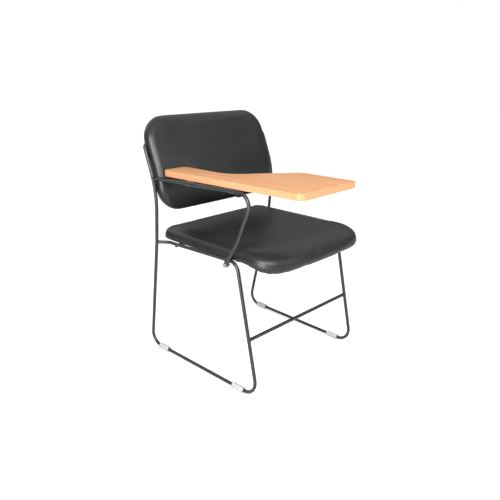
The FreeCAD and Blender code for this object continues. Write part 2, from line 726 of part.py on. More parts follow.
def back_board():
    """Bent plywood board inside the back pad, drilled for its tee nuts."""
    board = back_panel(BACK_BOARD_MARGIN, BACK_BOARD_FRONT, BACK_BOARD_FRONT + BACK_BOARD_T)
    for side, z in back_plate_places():
        normal = back_normal(z)
        start = back_screw_spot(side, z, BACK_BOARD_FRONT - OVERRUN)
        board = board.cut(Part.makeCylinder(TEE_BARREL_R + HOLE_GAP, OVERRUN * 2, start, normal))
        sink = back_screw_spot(side, z, BACK_BOARD_FRONT + TEE_FLANGE_T)
        board = board.cut(Part.makeCylinder(TEE_FLANGE_R + HOLE_GAP, OVERRUN, sink, normal * -1))
    return board


def back_cushion():
    """Foam and leatherette back pad, open at the rear for its board and at the sides for the rods."""
    places = stations(BACK_HALF, BACK_SIDE_ROLL, BACK_CORNER, BACK_MIDDLE_SHARE)
    pad = pad_loft([back_section(x) for x in places])
    pocket = back_panel(BACK_BOARD_MARGIN - SOFT_GAP, BACK_BOARD_FRONT - SOFT_GAP, BACK_RIM + OVERRUN)
    behind = back_panel(BACK_COVER_MARGIN - SOFT_GAP, BACK_RIM - RIM_SINK, BACK_RIM + OVERRUN)
    bore = bent_rod(spigot_points(SPIGOT_REACH + SOFT_GAP), [SPIGOT_BEND], ROD_R + SOFT_GAP)
    return pad.cut(pocket).cut(behind).cut(bore).cut(mirrored(bore))


def back_cover():
    """Rear panel of the back, drilled for the screws."""
    near = COVER_NEAR
    cover = back_panel(BACK_COVER_MARGIN, near, near + BACK_COVER_T)
    for side, z in back_plate_places():
        start = back_screw_spot(side, z, near - OVERRUN)
        cover = cover.cut(Part.makeCylinder(SCREW_R + HOLE_GAP, OVERRUN * 2, start, back_normal(z)))
    return cover


def back_plate(side, z, frame, cover):
    """A cranked plate from the upright's rear to the back's rear panel."""
    along = along_at_height(z)
    near = COVER_NEAR + BACK_COVER_T
    outer = LUMBAR_HALF - ROD_R * ARC_MIDDLE_SHARE
    inner = LUMBAR_HALF - BACK_PLATE_REACH
    step = LUMBAR_HALF - BACK_PLATE_STEP
    outline = [
        (outer, ROD_R * ARC_MIDDLE_SHARE),
        (step + PLATE_T, ROD_R * ARC_MIDDLE_SHARE),
        (step - PLATE_T, near - PLATE_T * ARC_MIDDLE_SHARE),
        (inner, near - PLATE_T * ARC_MIDDLE_SHARE),
        (inner, near + PLATE_T),
        (step - PLATE_T, near + PLATE_T),
        (step + PLATE_T * 2, ROD_R + PLATE_T),
        (outer, ROD_R + PLATE_T),
    ]
    low = along - BACK_PLATE_H / 2
    normal = back_normal(z)
    rise = Vector(0, -normal.z, normal.y)
    origin = back_point(along, 0, 0) - rise * (BACK_PLATE_H / 2)
    points = [origin + X_AXIS * (side * x) + normal * across for x, across in outline]
    plate = Part.Face(Part.makePolygon(points + points[:1])).extrude(rise * BACK_PLATE_H)
    plate = plate.cut(frame).cut(cover)
    start = back_screw_spot(side, z, -OVERRUN)
    plate = plate.cut(Part.makeCylinder(SCREW_R + HOLE_GAP, OVERRUN * 2, start, normal))
    return max(plate.Solids, key=lambda solid: solid.Volume)


def arm_path_points():
    """The arm rod's corners, from the upright to its flattened lower end."""
    rear = Vector(ARM_REAR_X, ARM_REAR_Y, ARM_Z)
    front = Vector(ARM_FRONT_X, ARM_FRONT_Y, ARM_Z)
    start = rear + (rear - front).normalize() * ARM_REAR_RUN
    kink = Vector(ARM_KINK_X, ARM_KINK_Y, ARM_KINK_Z)
    return [start, front, kink, Vector(eye_middle_x(), ARM_END_Y, ARM_END_Z)]


def lug_outer_x():
    """Outboard face of the lug on the seat rail."""
    return -(rail_half(ARM_BOLT_Y) + ROD_R + LUG_T)


def eye_middle_x():
    """Middle of the arm rod's flattened end."""
    return lug_outer_x() - EYE_T / 2


def stadium(first, second, half_width, thickness):
    """A plate with round ends between two points of one X plane, thickening towards +X."""
    along = (second - first).normalize()
    side = along.cross(X_AXIS) * half_width
    near, far = along * -half_width, along * half_width
    edges = [
        Part.LineSegment(first + side, second + side).toShape(),
        Part.Arc(second + side, second + far, second - side).toShape(),
        Part.LineSegment(second - side, first - side).toShape(),
        Part.Arc(first - side, first + near, first + side).toShape(),
    ]
    return Part.Face(Part.Wire(edges)).extrude(X_AXIS * thickness)


def arm_rod(frame):
    """The rod that runs under the tablet's outer edge and down to the seat rail."""
    rod = bent_rod(arm_path_points(), [ARM_FRONT_BEND, ARM_KINK_BEND])
    outer_x = eye_middle_x() - EYE_T / 2
    bolt = Vector(outer_x, ARM_BOLT_Y, ARM_BOLT_Z)
    neck = Vector(outer_x, ARM_END_Y, ARM_END_Z)
    eye = stadium(neck, bolt, EYE_HALF_W, EYE_T)
    hole = Part.makeCylinder(BOLT_R + HOLE_GAP, EYE_T, bolt, X_AXIS)
    whole = rod.fuse(eye).cut(hole).cut(frame)
    return max(whole.Solids, key=lambda solid: solid.Volume)


def arm_lug(frame):
    """Lug welded to the outside of the seat rail."""
    bolt = Vector(lug_outer_x(), ARM_BOLT_Y, ARM_BOLT_Z)
    top = Vector(lug_outer_x(), ARM_BOLT_Y, LUG_TOP_Z)
    lug = stadium(top, bolt, LUG_HALF_W, LUG_T + LUG_SINK)
    hole = Part.makeCylinder(BOLT_R + HOLE_GAP, LUG_T + LUG_SINK, bolt, X_AXIS)
    return lug.cut(frame).cut(hole)


def hexagon(centre, corner_radius, height, axis):
    """A six sided prism along an axis in X."""
    points = []
    for number in range(HEXAGON_SIDES):
        turn = math.tau * number / HEXAGON_SIDES
        points.append(centre + Vector(0, corner_radius * math.cos(turn), corner_radius * math.sin(turn)))
    return Part.Face(Part.makePolygon(points + points[:1])).extrude(axis * height)


def arm_bolt():
    """Hexagon bolt through the arm rod's eye and the lug."""
    face = Vector(eye_middle_x() - EYE_T / 2 - WASHER_T, ARM_BOLT_Y, ARM_BOLT_Z)
    head = hexagon(face, BOLT_HEAD_R, BOLT_HEAD_H, X_AXIS * -1)
    length = WASHER_T + EYE_T + LUG_T + LUG_SINK + NUT_H + BOLT_END
    return head.fuse(Part.makeCylinder(BOLT_R, length, face, X_AXIS)).removeSplitter()


def arm_washer():
    """Washer under the bolt's head."""
    face = Vector(eye_middle_x() - EYE_T / 2 - WASHER_T, ARM_BOLT_Y, ARM_BOLT_Z)
    disc = Part.makeCylinder(WASHER_R, WASHER_T, face, X_AXIS)
    return disc.cut(Part.makeCylinder(BOLT_R + HOLE_GAP, WASHER_T, face, X_AXIS))


def arm_nut():
    """Nut on the inner side of the lug."""
    face = Vector(lug_outer_x() + LUG_T + LUG_SINK, ARM_BOLT_Y, ARM_BOLT_Z)
    nut = hexagon(face, NUT_R, NUT_H, X_AXIS)
    return nut.cut(Part.makeCylinder(BOLT_R + HOLE_GAP, NUT_H, face, X_AXIS))


def hinge_turn():
    """Angle in plan between the arm rod's straight run and the Y axis, in degrees."""
    return math.degrees(math.atan2(ARM_FRONT_X - ARM_REAR_X, ARM_REAR_Y - ARM_FRONT_Y))


def at_hinge(shape, y):
    """Move a piece drawn about the rod's axis, with +X inboard, to a place along the arm rod."""
    share = (y - ARM_FRONT_Y) / (ARM_REAR_Y - ARM_FRONT_Y)
    x = ARM_FRONT_X + (ARM_REAR_X - ARM_FRONT_X) * share
    turned = shape.copy()
    turned.rotate(Vector(0, 0, 0), Z_AXIS, hinge_turn())
    turned.translate(Vector(x, y, ARM_Z))
    return turned


def axis_cylinder(radius, width):
    """A cylinder on the rod's axis, drawn at the origin and centred on it."""
    return Part.makeCylinder(radius, width, Vector(0, -width / 2, 0), Y_AXIS)


def hinge_screw_offsets():
    """Distances of a hinge leaf's screws from the rod's axis."""
    return [HINGE_LEAF_REACH * share for share in HINGE_SCREW_SHARES]


def hinge_eye(y):
    """A strap rolled round the rod, with a leaf screwed under the tablet."""
    inner = ROD_R + HINGE_FIT
    outer = inner + HINGE_LEAF_T
    leaf = box_between(
        Vector(0, -HINGE_EYE_W / 2, inner), Vector(HINGE_LEAF_REACH, HINGE_EYE_W / 2, outer)
    )
    strap = axis_cylinder(outer, HINGE_EYE_W).fuse(leaf)
    strap = strap.cut(axis_cylinder(inner, HINGE_EYE_W * 2))
    slit = box_between(
        Vector(inner * ARC_MIDDLE_SHARE, -HINGE_EYE_W, inner - HINGE_SLIT),
        Vector(outer + HINGE_LEAF_T, HINGE_EYE_W, inner),
    )
    strap = strap.cut(slit)
    for offset in hinge_screw_offsets():
        start = Vector(offset, 0, inner)
        strap = strap.cut(Part.makeCylinder(WOOD_SCREW_R + HOLE_GAP, HINGE_LEAF_T, start))
    return at_hinge(strap.removeSplitter(), y)


def hinge_screw(offset, y):
    """A pan head screw up through a hinge leaf into the tablet."""
    under = ROD_R + HINGE_FIT
    head = Part.makeCylinder(WOOD_SCREW_HEAD_R, WOOD_SCREW_HEAD_H, Vector(offset, 0, under - WOOD_SCREW_HEAD_H))
    rim = min(head.Edges, key=lambda edge: edge.CenterOfMass.z)
    head = head.makeChamfer(WOOD_SCREW_HEAD_H / 2, [rim])
    shank = Part.makeCylinder(WOOD_SCREW_R, WOOD_SCREW_LENGTH, Vector(offset, 0, under))
    return at_hinge(head.fuse(shank).removeSplitter(), y)


def collar(y):
    """A ring welded on the arm rod beside the rear hinge eye."""
    ring = axis_cylinder(ROD_R + COLLAR_T, COLLAR_W).cut(axis_cylinder(ROD_R + COLLAR_FIT, COLLAR_W * 2))
    return at_hinge(ring, y)


def stop_bar(y, arm):
    """A flat bar welded to the arm rod's inner side, which the tablet comes down on."""
    low = Vector(ROD_R * ARC_MIDDLE_SHARE, -STOP_BAR_W / 2, -STOP_BAR_T / 2)
    high = Vector(STOP_BAR_REACH, STOP_BAR_W / 2, STOP_BAR_T / 2)
    bar = box_between(low, high)
    tips = [edge for edge in bar.Edges if edge.BoundBox.XMin > STOP_BAR_REACH - ROD_R]
    tips = [edge for edge in tips if edge.BoundBox.YLength < STOP_BAR_T / 2]
    bar = bar.makeFillet(STOP_BAR_W / 3, tips)
    bar = bar.cut(Part.makeCylinder(BUMPER_STEM_R + HOLE_GAP, STOP_BAR_T, Vector(BUMPER_SET, 0, -STOP_BAR_T / 2)))
    return at_hinge(bar, y).cut(arm)


def bumper(y):
    """A rubber button on a stop bar."""
    height = ROD_R + HINGE_FIT + HINGE_LEAF_T - STOP_BAR_T / 2 - BUMPER_PLAY
    button = Part.makeCylinder(BUMPER_R, height, Vector(BUMPER_SET, 0, STOP_BAR_T / 2))
    rim = max(button.Edges, key=lambda edge: edge.CenterOfMass.z)
    button = button.makeChamfer(BUMPER_EDGE, [rim])
    stem = Part.makeCylinder(BUMPER_STEM_R, STOP_BAR_T, Vector(BUMPER_SET, 0, -STOP_BAR_T / 2))
    return at_hinge(button.fuse(stem).removeSplitter(), y)


def outer_edge_x(y):
    """The tablet's outer edge at a place along the chair."""
    share = (y - TABLET_FRONT_Y) / (TABLET_REAR_Y - TABLET_FRONT_Y)
    return TABLET_OUTER_FRONT_X + (TABLET_OUTER_REAR_X - TABLET_OUTER_FRONT_X) * share


def rod_axis_x(y):
    """The arm rod's axis at a place along its straight run."""
    share = (y - ARM_FRONT_Y) / (ARM_REAR_Y - ARM_FRONT_Y)
    return ARM_FRONT_X + (ARM_REAR_X - ARM_FRONT_X) * share


def open_stop(arm):
    """A lug under the arm rod that the tablet's edge lands on when it is swung right over."""
    turn = math.radians(OPEN_ANGLE)
    edge = outer_edge_x(OPEN_STOP_Y) - rod_axis_x(OPEN_STOP_Y)
    under = BOARD_UNDER_Z - ARM_Z
    corner_x = edge * math.cos(turn) - under * math.sin(turn)
    corner_z = edge * math.sin(turn) + under * math.cos(turn)
    drop = (OPEN_STOP_REACH + corner_x) * math.cos(turn) / math.sin(turn)
    top = corner_z + drop - OPEN_STOP_PLAY
    half = OPEN_STOP_W / 2
    shelf = box_between(Vector(-OPEN_STOP_REACH, -half, top - OPEN_STOP_T), Vector(ROD_R, half, top))
    web = box_between(Vector(-ROD_R / 2, -half, top - OPEN_STOP_T), Vector(ROD_R / 2, half, 0))
    return at_hinge(shelf.fuse(web).removeSplitter(), OPEN_STOP_Y).cut(arm)


def tablet_outline(z, inset):
    """The tablet's outline at a height, drawn in by an even margin."""
    points = [
        Vector(TABLET_OUTER_FRONT_X + inset, TABLET_FRONT_Y + inset, z),
        Vector(TABLET_INNER_X - inset, TABLET_FRONT_Y + inset, z),
        Vector(TABLET_INNER_X - inset, TABLET_SHOULDER_Y - inset * ARC_MIDDLE_SHARE, z),
        Vector(TABLET_ARM_INNER_X - inset, TABLET_NECK_Y - inset * ARC_MIDDLE_SHARE, z),
        Vector(TABLET_ARM_INNER_X - inset, TABLET_REAR_Y - inset, z),
        Vector(TABLET_OUTER_REAR_X + inset, TABLET_REAR_Y - inset, z),
    ]
    radii = [
        TABLET_FRONT_OUTER_R - inset,
        TABLET_FRONT_INNER_R - inset,
        TABLET_SHOULDER_R - inset,
        TABLET_NECK_R + inset,
        TABLET_REAR_INNER_R - inset,
        TABLET_REAR_OUTER_R - inset,
    ]
    return Part.Face(closed_outline(points, radii))


def tablet_board():
    """Particle board core of the tablet, with pilot holes for the hinge screws."""
    board = tablet_outline(BOARD_UNDER_Z, TABLET_EDGE_T).extrude(Z_AXIS * TABLET_CORE_T)
    for y in (HINGE_FRONT_Y, HINGE_REAR_Y):
        for offset in hinge_screw_offsets():
            depth = WOOD_SCREW_LENGTH + WOOD_SCREW_FIT
            start = Vector(offset, 0, ROD_R + HINGE_FIT)
            board = board.cut(at_hinge(Part.makeCylinder(WOOD_SCREW_R + WOOD_SCREW_FIT, depth, start), y))
    return board


def tablet_laminate():
    """Hard laminate on top of the tablet."""
    return tablet_outline(TABLET_TOP_Z - LAMINATE_T, TABLET_EDGE_T).extrude(Z_AXIS * LAMINATE_T)


def tablet_edge_band():
    """Band all round the tablet's edge."""
    height = TABLET_TOP_Z - BOARD_UNDER_Z
    outer = tablet_outline(BOARD_UNDER_Z, 0.0).extrude(Z_AXIS * height)
    inner = tablet_outline(BOARD_UNDER_Z, TABLET_EDGE_T).extrude(Z_AXIS * height)
    return outer.cut(inner)


def build_frame():
    """The two bent sides and the rods between them."""
    right = side_frame()
    left = mirrored(right)
    save("right_side_frame", right)
    save("left_side_frame", left)
    foot = leg_point(STRETCHER_Z)
    save("front_stretcher", cross_rod(-foot.x, foot.y + STRETCHER_SET, STRETCHER_Z, [right, left]))
    rods = []
    front = ("seat_front_cross_rod", SEAT_ROD_FRONT_Y, SEAT_ROD_FRONT_Z)
    rear = ("seat_rear_cross_rod", SEAT_ROD_REAR_Y, SEAT_ROD_REAR_Z)
    for name, y, z in (front, rear):
        rod = cross_rod(rail_half(y) + SEAT_ROD_END, y, z, [right, left])
        save(name, rod)
        rods.append(rod)
    return right, left, rods


def build_glides():
    """Four glides, two on each runner."""
    run = (foot_rear() - foot_front()).Length
    for place, share in (("front", GLIDE_FRONT_SET / run), ("rear", 1 - GLIDE_REAR_SET / run)):
        piece = glide(runner_point(share))
        save("glide_" + place + "_right", piece)
        save("glide_" + place + "_left", mirrored(piece))


def build_seat(rods):
    """Seat pad, board, plates and fasteners."""
    save("seat_cushion", seat_cushion())
    save("seat_board", seat_board())
    save("seat_screw_plates", seat_plates(rods))
    inner = Z_AXIS * SEAT_BOARD_T
    save("seat_tee_nuts", [tee_nut(spot + inner, Z_AXIS * -1, SEAT_BOARD_T) for spot in seat_plate_spots()])
    length = PLATE_T + SEAT_BOARD_T - SCREW_TIP
    under = Z_AXIS * PLATE_T
    save("seat_screws", [machine_screw(spot - under, Z_AXIS, length) for spot in seat_plate_spots()])


def build_back(right, left):
    """Back pad, board, rear panel, plates and fasteners."""
    cover = back_cover()
    save("back_cushion", back_cushion())
    save("back_board", back_board())
    save("back_cover", cover)
    plates = []
    nuts = []
    screws = []
    outside = COVER_NEAR + BACK_COVER_T + PLATE_T
    length = outside - BACK_BOARD_FRONT - SCREW_TIP
    for side, z in back_plate_places():
        normal = back_normal(z)
        plates.append(back_plate(side, z, right if side < 0 else left, cover))
        nuts.append(tee_nut(back_screw_spot(side, z, BACK_BOARD_FRONT), normal, BACK_BOARD_T))
        screws.append(machine_screw(back_screw_spot(side, z, outside), normal * -1, length))
    save("back_screw_plates", plates)
    save("back_tee_nuts", nuts)
    save("back_screws", screws)


def build_arm(right):
    """Arm rod, its lug and bolt, and what is welded on it for the tablet."""
    arm = arm_rod(right)
    save("arm_rod", arm)
    save("arm_lug", arm_lug(right))
    save("arm_bolt", arm_bolt())
    save("arm_washer", arm_washer())
    save("arm_nut", arm_nut())
    spacing = (HINGE_EYE_W + COLLAR_W) / 2 + COLLAR_PLAY
    save("hinge_collars", [collar(HINGE_REAR_Y + turn * spacing) for turn in (-1, 1)])
    save("tablet_stop_bars", [stop_bar(y, arm) for y in (STOP_BAR_FRONT_Y, STOP_BAR_REAR_Y)])
    save("tablet_bumpers", [bumper(y) for y in (STOP_BAR_FRONT_Y, STOP_BAR_REAR_Y)])
    save("tablet_open_stop", open_stop(arm))


def build_tablet():
    """Writing tablet with its hinge eyes and screws."""
    save("tablet_board", tablet_board())
    save("tablet_laminate", tablet_laminate())
    save("tablet_edge_band", tablet_edge_band())
    save("hinge_eye_front", hinge_eye(HINGE_FRONT_Y))
    save("hinge_eye_rear", hinge_eye(HINGE_REAR_Y))
    screws = []
    for y in (HINGE_FRONT_Y, HINGE_REAR_Y):
        screws += [hinge_screw(offset, y) for offset in hinge_screw_offsets()]
    save("hinge_screws", screws)


def main():
    """Build every sub-part of the chair."""
    os.makedirs("parts", exist_ok=True)
    right, left, rods = build_frame()
    build_glides()
    build_seat(rods)
    build_back(right, left)
    build_arm(right)
    build_tablet()
    print("hinge axis passes", rod_axis_x(HINGE_REAR_Y), HINGE_REAR_Y, ARM_Z, "turned", hinge_turn())
    print("front glide stands at", runner_point(GLIDE_FRONT_SET / (foot_rear() - foot_front()).Length))


main()
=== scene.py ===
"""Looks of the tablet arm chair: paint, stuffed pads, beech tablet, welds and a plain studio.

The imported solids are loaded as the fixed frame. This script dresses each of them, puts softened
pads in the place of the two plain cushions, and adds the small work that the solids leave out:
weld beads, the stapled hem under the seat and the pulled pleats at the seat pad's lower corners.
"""

from __future__ import annotations

import json
import logging
import math
from dataclasses import dataclass, field
from enum import Enum
from typing import Iterable, Sequence

import bpy
import numpy as np
from mathutils import Matrix, Vector
from mathutils.bvhtree import BVHTree

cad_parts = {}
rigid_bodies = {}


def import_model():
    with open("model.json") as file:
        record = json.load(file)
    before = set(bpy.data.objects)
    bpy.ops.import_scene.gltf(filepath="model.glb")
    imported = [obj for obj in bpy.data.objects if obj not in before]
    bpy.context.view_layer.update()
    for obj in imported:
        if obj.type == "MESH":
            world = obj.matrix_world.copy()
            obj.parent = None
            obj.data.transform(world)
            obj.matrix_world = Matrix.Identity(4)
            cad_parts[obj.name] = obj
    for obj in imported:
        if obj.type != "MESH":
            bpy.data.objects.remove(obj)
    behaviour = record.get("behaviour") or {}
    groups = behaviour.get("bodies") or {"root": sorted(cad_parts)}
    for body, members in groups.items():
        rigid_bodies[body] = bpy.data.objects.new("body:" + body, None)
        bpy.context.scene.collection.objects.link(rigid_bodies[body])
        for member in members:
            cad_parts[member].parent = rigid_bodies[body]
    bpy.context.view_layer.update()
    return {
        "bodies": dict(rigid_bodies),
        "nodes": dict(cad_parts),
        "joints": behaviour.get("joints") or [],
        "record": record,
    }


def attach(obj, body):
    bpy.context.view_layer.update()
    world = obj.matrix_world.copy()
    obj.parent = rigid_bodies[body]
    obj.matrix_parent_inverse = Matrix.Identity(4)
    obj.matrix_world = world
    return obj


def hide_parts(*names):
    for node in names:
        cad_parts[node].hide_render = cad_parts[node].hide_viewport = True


LOG = logging.getLogger("tablet_arm_chair")

MM = 0.001
UP = Vector((0.0, 0.0, 1.0))
ROD_R = 5.5 * MM
RAIL_FRONT = Vector((0.237, -0.1075, 0.4175))
RAIL_REAR = Vector((0.241, 0.2055, 0.4105))
BACK_LEAN = math.radians(20.8)

Colour = tuple[float, float, float]


class Body(str, Enum):
    """The two bodies that pieces ride on."""

    FRAME = "frame"
    TABLET = "tablet"


class Slot(str, Enum):
    """Material slots of the record."""

    ROD = "black_rod"
    PAD = "leatherette"
    PLY = "plywood"
    CORE = "particle_board"
    FACE = "wood_laminate"
    EDGE = "wood_edge"
    GLIDE = "glide_plastic"
    ZINC = "zinc"
    RUBBER = "bumper_rubber"


Solids = dict[Slot, tuple[str, ...]]


# Node helpers and shared shader effects


@dataclass
class Graph:
    """Short calls for building a node tree.

    Args:
        tree: the tree that nodes are added to.
    """

    tree: bpy.types.NodeTree

    def feed(self, socket: bpy.types.NodeSocket, value: object) -> None:
        """Link an input, or set its constant.

        Args:
            socket: the input.
            value: an output socket, a number, a vector or a colour.
        """
        if isinstance(value, bpy.types.NodeSocket):
            self.tree.links.new(value, socket)
        elif isinstance(value, tuple) and len(value) < len(socket.default_value):
            socket.default_value = (*value, 1.0)
        else:
            socket.default_value = value

    def node(self, kind: str, **values: object) -> bpy.types.Node:
        """Add one node.

        Args:
            kind: Blender's type name of the node.
            values: attributes of the node, or what an input gets where the name starts with in_.

        Returns:
            The new node.
        """
        made = self.tree.nodes.new(kind)
        for name, value in values.items():
            if name.startswith("in_"):
                self.feed(made.inputs[name[3:].replace("_", " ")], value)
            else:
                setattr(made, name, value)
        return made

    def math(self, operation: str, *terms: object) -> bpy.types.NodeSocket:
        """Work out a value.

        Args:
            operation: Blender's name of the operation.
            terms: sockets or numbers.

        Returns:
            The result's socket.
        """
        made = self.node("ShaderNodeMath", operation=operation)
        for socket, value in zip(made.inputs, terms):
            self.feed(socket, value)
        return made.outputs[0]

    def ramp(self, value: bpy.types.NodeSocket, stops: Sequence[tuple[float, float]]) -> bpy.types.NodeSocket:
        """Remap a value through grey stops.

        Args:
            value: the socket to remap.
            stops: pairs of place and grey level.

        Returns:
            The ramp's colour output.
        """
        made = self.node("ShaderNodeValToRGB", in_Fac=value)
        band = made.color_ramp
        while len(band.elements) < len(stops):
            band.elements.new(0.5)
        for element, (place, level) in zip(band.elements, stops):
            element.position = place
            element.color = (level, level, level, 1.0)
        return made.outputs["Color"]

    def blend(self, share: object, first: object, second: object) -> bpy.types.NodeSocket:
        """Mix two colours.

        Args:
            share: a socket or a number from 0 to 1.
            first: a socket or a colour.
            second: a socket or a colour.

        Returns:
            The mixed colour.
        """
        made = self.node("ShaderNodeMix", data_type="RGBA")
        colours = [socket for socket in made.inputs if socket.type == "RGBA"]
        for socket, value in zip((made.inputs[0], *colours), (share, first, second)):
            self.feed(socket, value)
        return next(socket for socket in made.outputs if socket.type == "RGBA")

    def places(self) -> bpy.types.NodeSocket:
        """Places on the object itself, in metres."""
        return self.node("ShaderNodeTexCoord").outputs["Object"]

    def noise(
        self,
        place: bpy.types.NodeSocket,
        scale: object,
        detail: float,
        roughness: float,
        distortion: float = 0.0,
    ) -> bpy.types.NodeSocket:
        """Cloudy noise.

        Args:
            place: where it is read.
            scale: how fine it is, a socket or a number.
            detail: how many finer layers it has.
            roughness: how strong each finer layer is.
            distortion: how far it is bent.

        Returns:
            Its level.
        """
        made = self.node("ShaderNodeTexNoise", in_Vector=place, in_Scale=scale, in_Detail=detail)
        self.feed(made.inputs["Roughness"], roughness)
        self.feed(made.inputs["Distortion"], distortion)
        return made.outputs["Fac"]


def group_tree(
    name: str, inputs: dict[str, float], outputs: Sequence[str]
) -> tuple[Graph, bpy.types.Node, bpy.types.Node]:
    """Start a shader group with named value sockets.

    Args:
        name: the group's name.
        inputs: its inputs and their defaults.
        outputs: its outputs.

    Returns:
        The group's graph, the node that gives its inputs and the node that takes its outputs.
    """
    tree = bpy.data.node_groups.new(name, "ShaderNodeTree")
    for label, default in inputs.items():
        socket = tree.interface.new_socket(label, in_out="INPUT", socket_type="NodeSocketFloat")
        socket.default_value = default
    for label in outputs:
        tree.interface.new_socket(label, in_out="OUTPUT", socket_type="NodeSocketFloat")
    graph = Graph(tree)
    return graph, graph.node("NodeGroupInput"), graph.node("NodeGroupOutput")


class Effects:
    """Shader groups that more than one finish uses, each built once."""

    def __init__(self) -> None:
        """Build the three groups."""
        self.patches = self._patches()
        self.ripple = self._ripple()
        self.grain = self._grain()

    @staticmethod
    def _patches() -> bpy.types.NodeTree:
        """Soft uneven patches, for wear, handling marks and tone that drifts over a surface.

        Returns:
            The group, with Scale, Low and High in and Mask out.
        """
        g, given, end = group_tree("uneven_patches", {"Scale": 20.0, "Low": 0.4, "High": 0.7}, ("Mask",))
        noise = g.noise(g.places(), given.outputs["Scale"], detail=4.0, roughness=0.62)
        span = g.node("ShaderNodeMapRange", interpolation_type="SMOOTHSTEP", in_Value=noise)
        g.feed(span.inputs["From Min"], given.outputs["Low"])
        g.feed(span.inputs["From Max"], given.outputs["High"])
        g.feed(end.inputs["Mask"], span.outputs["Result"])
        return g.tree

    @staticmethod
    def _ripple() -> bpy.types.NodeTree:
        """Fine ripple of a sprayed, moulded or plated skin.

        Returns:
            The group, with Scale in and Height out.
        """
        g, given, end = group_tree("skin_ripple", {"Scale": 600.0}, ("Height",))
        noise = g.noise(g.places(), given.outputs["Scale"], detail=2.0, roughness=0.5)
        g.feed(end.inputs["Height"], noise)
        return g.tree

    @staticmethod
    def _grain() -> bpy.types.NodeTree:
        """Long wood figure with short pores, running along the chair from front to rear.

        Returns:
            The group, with Streaks, Stretch, Pores and Turn in, and Figure and Pits out.
        """
        values = {"Streaks": 42.0, "Stretch": 0.045, "Pores": 420.0, "Turn": 0.0}
        g, given, end = group_tree("wood_figure", values, ("Figure", "Pits"))
        streaks, broad, finer = given.outputs["Streaks"], 0.66, 6.0
        turned = g.node("ShaderNodeVectorRotate", rotation_type="Z_AXIS", in_Vector=g.places())
        g.feed(turned.inputs["Angle"], given.outputs["Turn"])
        split = g.node("ShaderNodeSeparateXYZ", in_Vector=turned.outputs["Vector"]).outputs
        short = g.math("MULTIPLY", split["Y"], given.outputs["Stretch"])
        along = g.node("ShaderNodeCombineXYZ", in_X=split["X"], in_Y=short, in_Z=split["Z"]).outputs["Vector"]
        drift = g.noise(along, streaks, detail=3.0, roughness=0.55, distortion=0.6)
        fibres = g.noise(along, g.math("MULTIPLY", streaks, finer), detail=4.0, roughness=0.7)
        both = g.math("ADD", g.math("MULTIPLY", drift, broad), g.math("MULTIPLY", fibres, 1.0 - broad))
        g.feed(end.inputs["Figure"], g.ramp(both, ((0.34, 0.0), (0.52, 0.55), (0.66, 1.0))))
        fine = given.outputs["Pores"]
        dots = g.node("ShaderNodeTexVoronoi", feature="F1", in_Vector=along, in_Scale=fine)
        g.feed(end.inputs["Pits"], g.ramp(dots.outputs["Distance"], ((0.10, 1.0), (0.24, 0.0))))
        return g.tree

    @staticmethod
    def use(graph: Graph, tree: bpy.types.NodeTree, **values: float) -> bpy.types.NodeInputs:
        """Place one of the groups in a material.

        Args:
            graph: the material's graph.
            tree: the group.
            values: values of the group's inputs.

        Returns:
            The outputs of the group's node.
        """
        made = graph.node("ShaderNodeGroup", node_tree=tree)
        for name, value in values.items():
            graph.feed(made.inputs[name], value)
        return made.outputs


# Finishes


@dataclass(frozen=True)
class Patches:
    """Patches of another tone or gloss on a surface.

    Args:
        scale: how fine they are.
        low: noise level at which they begin.
        high: noise level at which they are full.
        gloss: what they add to the roughness.
        tone: their colour, or None where the finish sets its colour by itself.
    """

    scale: float
    low: float
    high: float
    gloss: float = 0.0
    tone: Colour | None = None


@dataclass(frozen=True)
class Relief:
    """The fine relief of a surface.

    Args:
        depth: how deep a height of 1 is, in metres.
        share: share of the bump that is used.
        scale: how fine a ripple is, where the relief is one.
    """

    depth: float
    share: float
    scale: float = 600.0


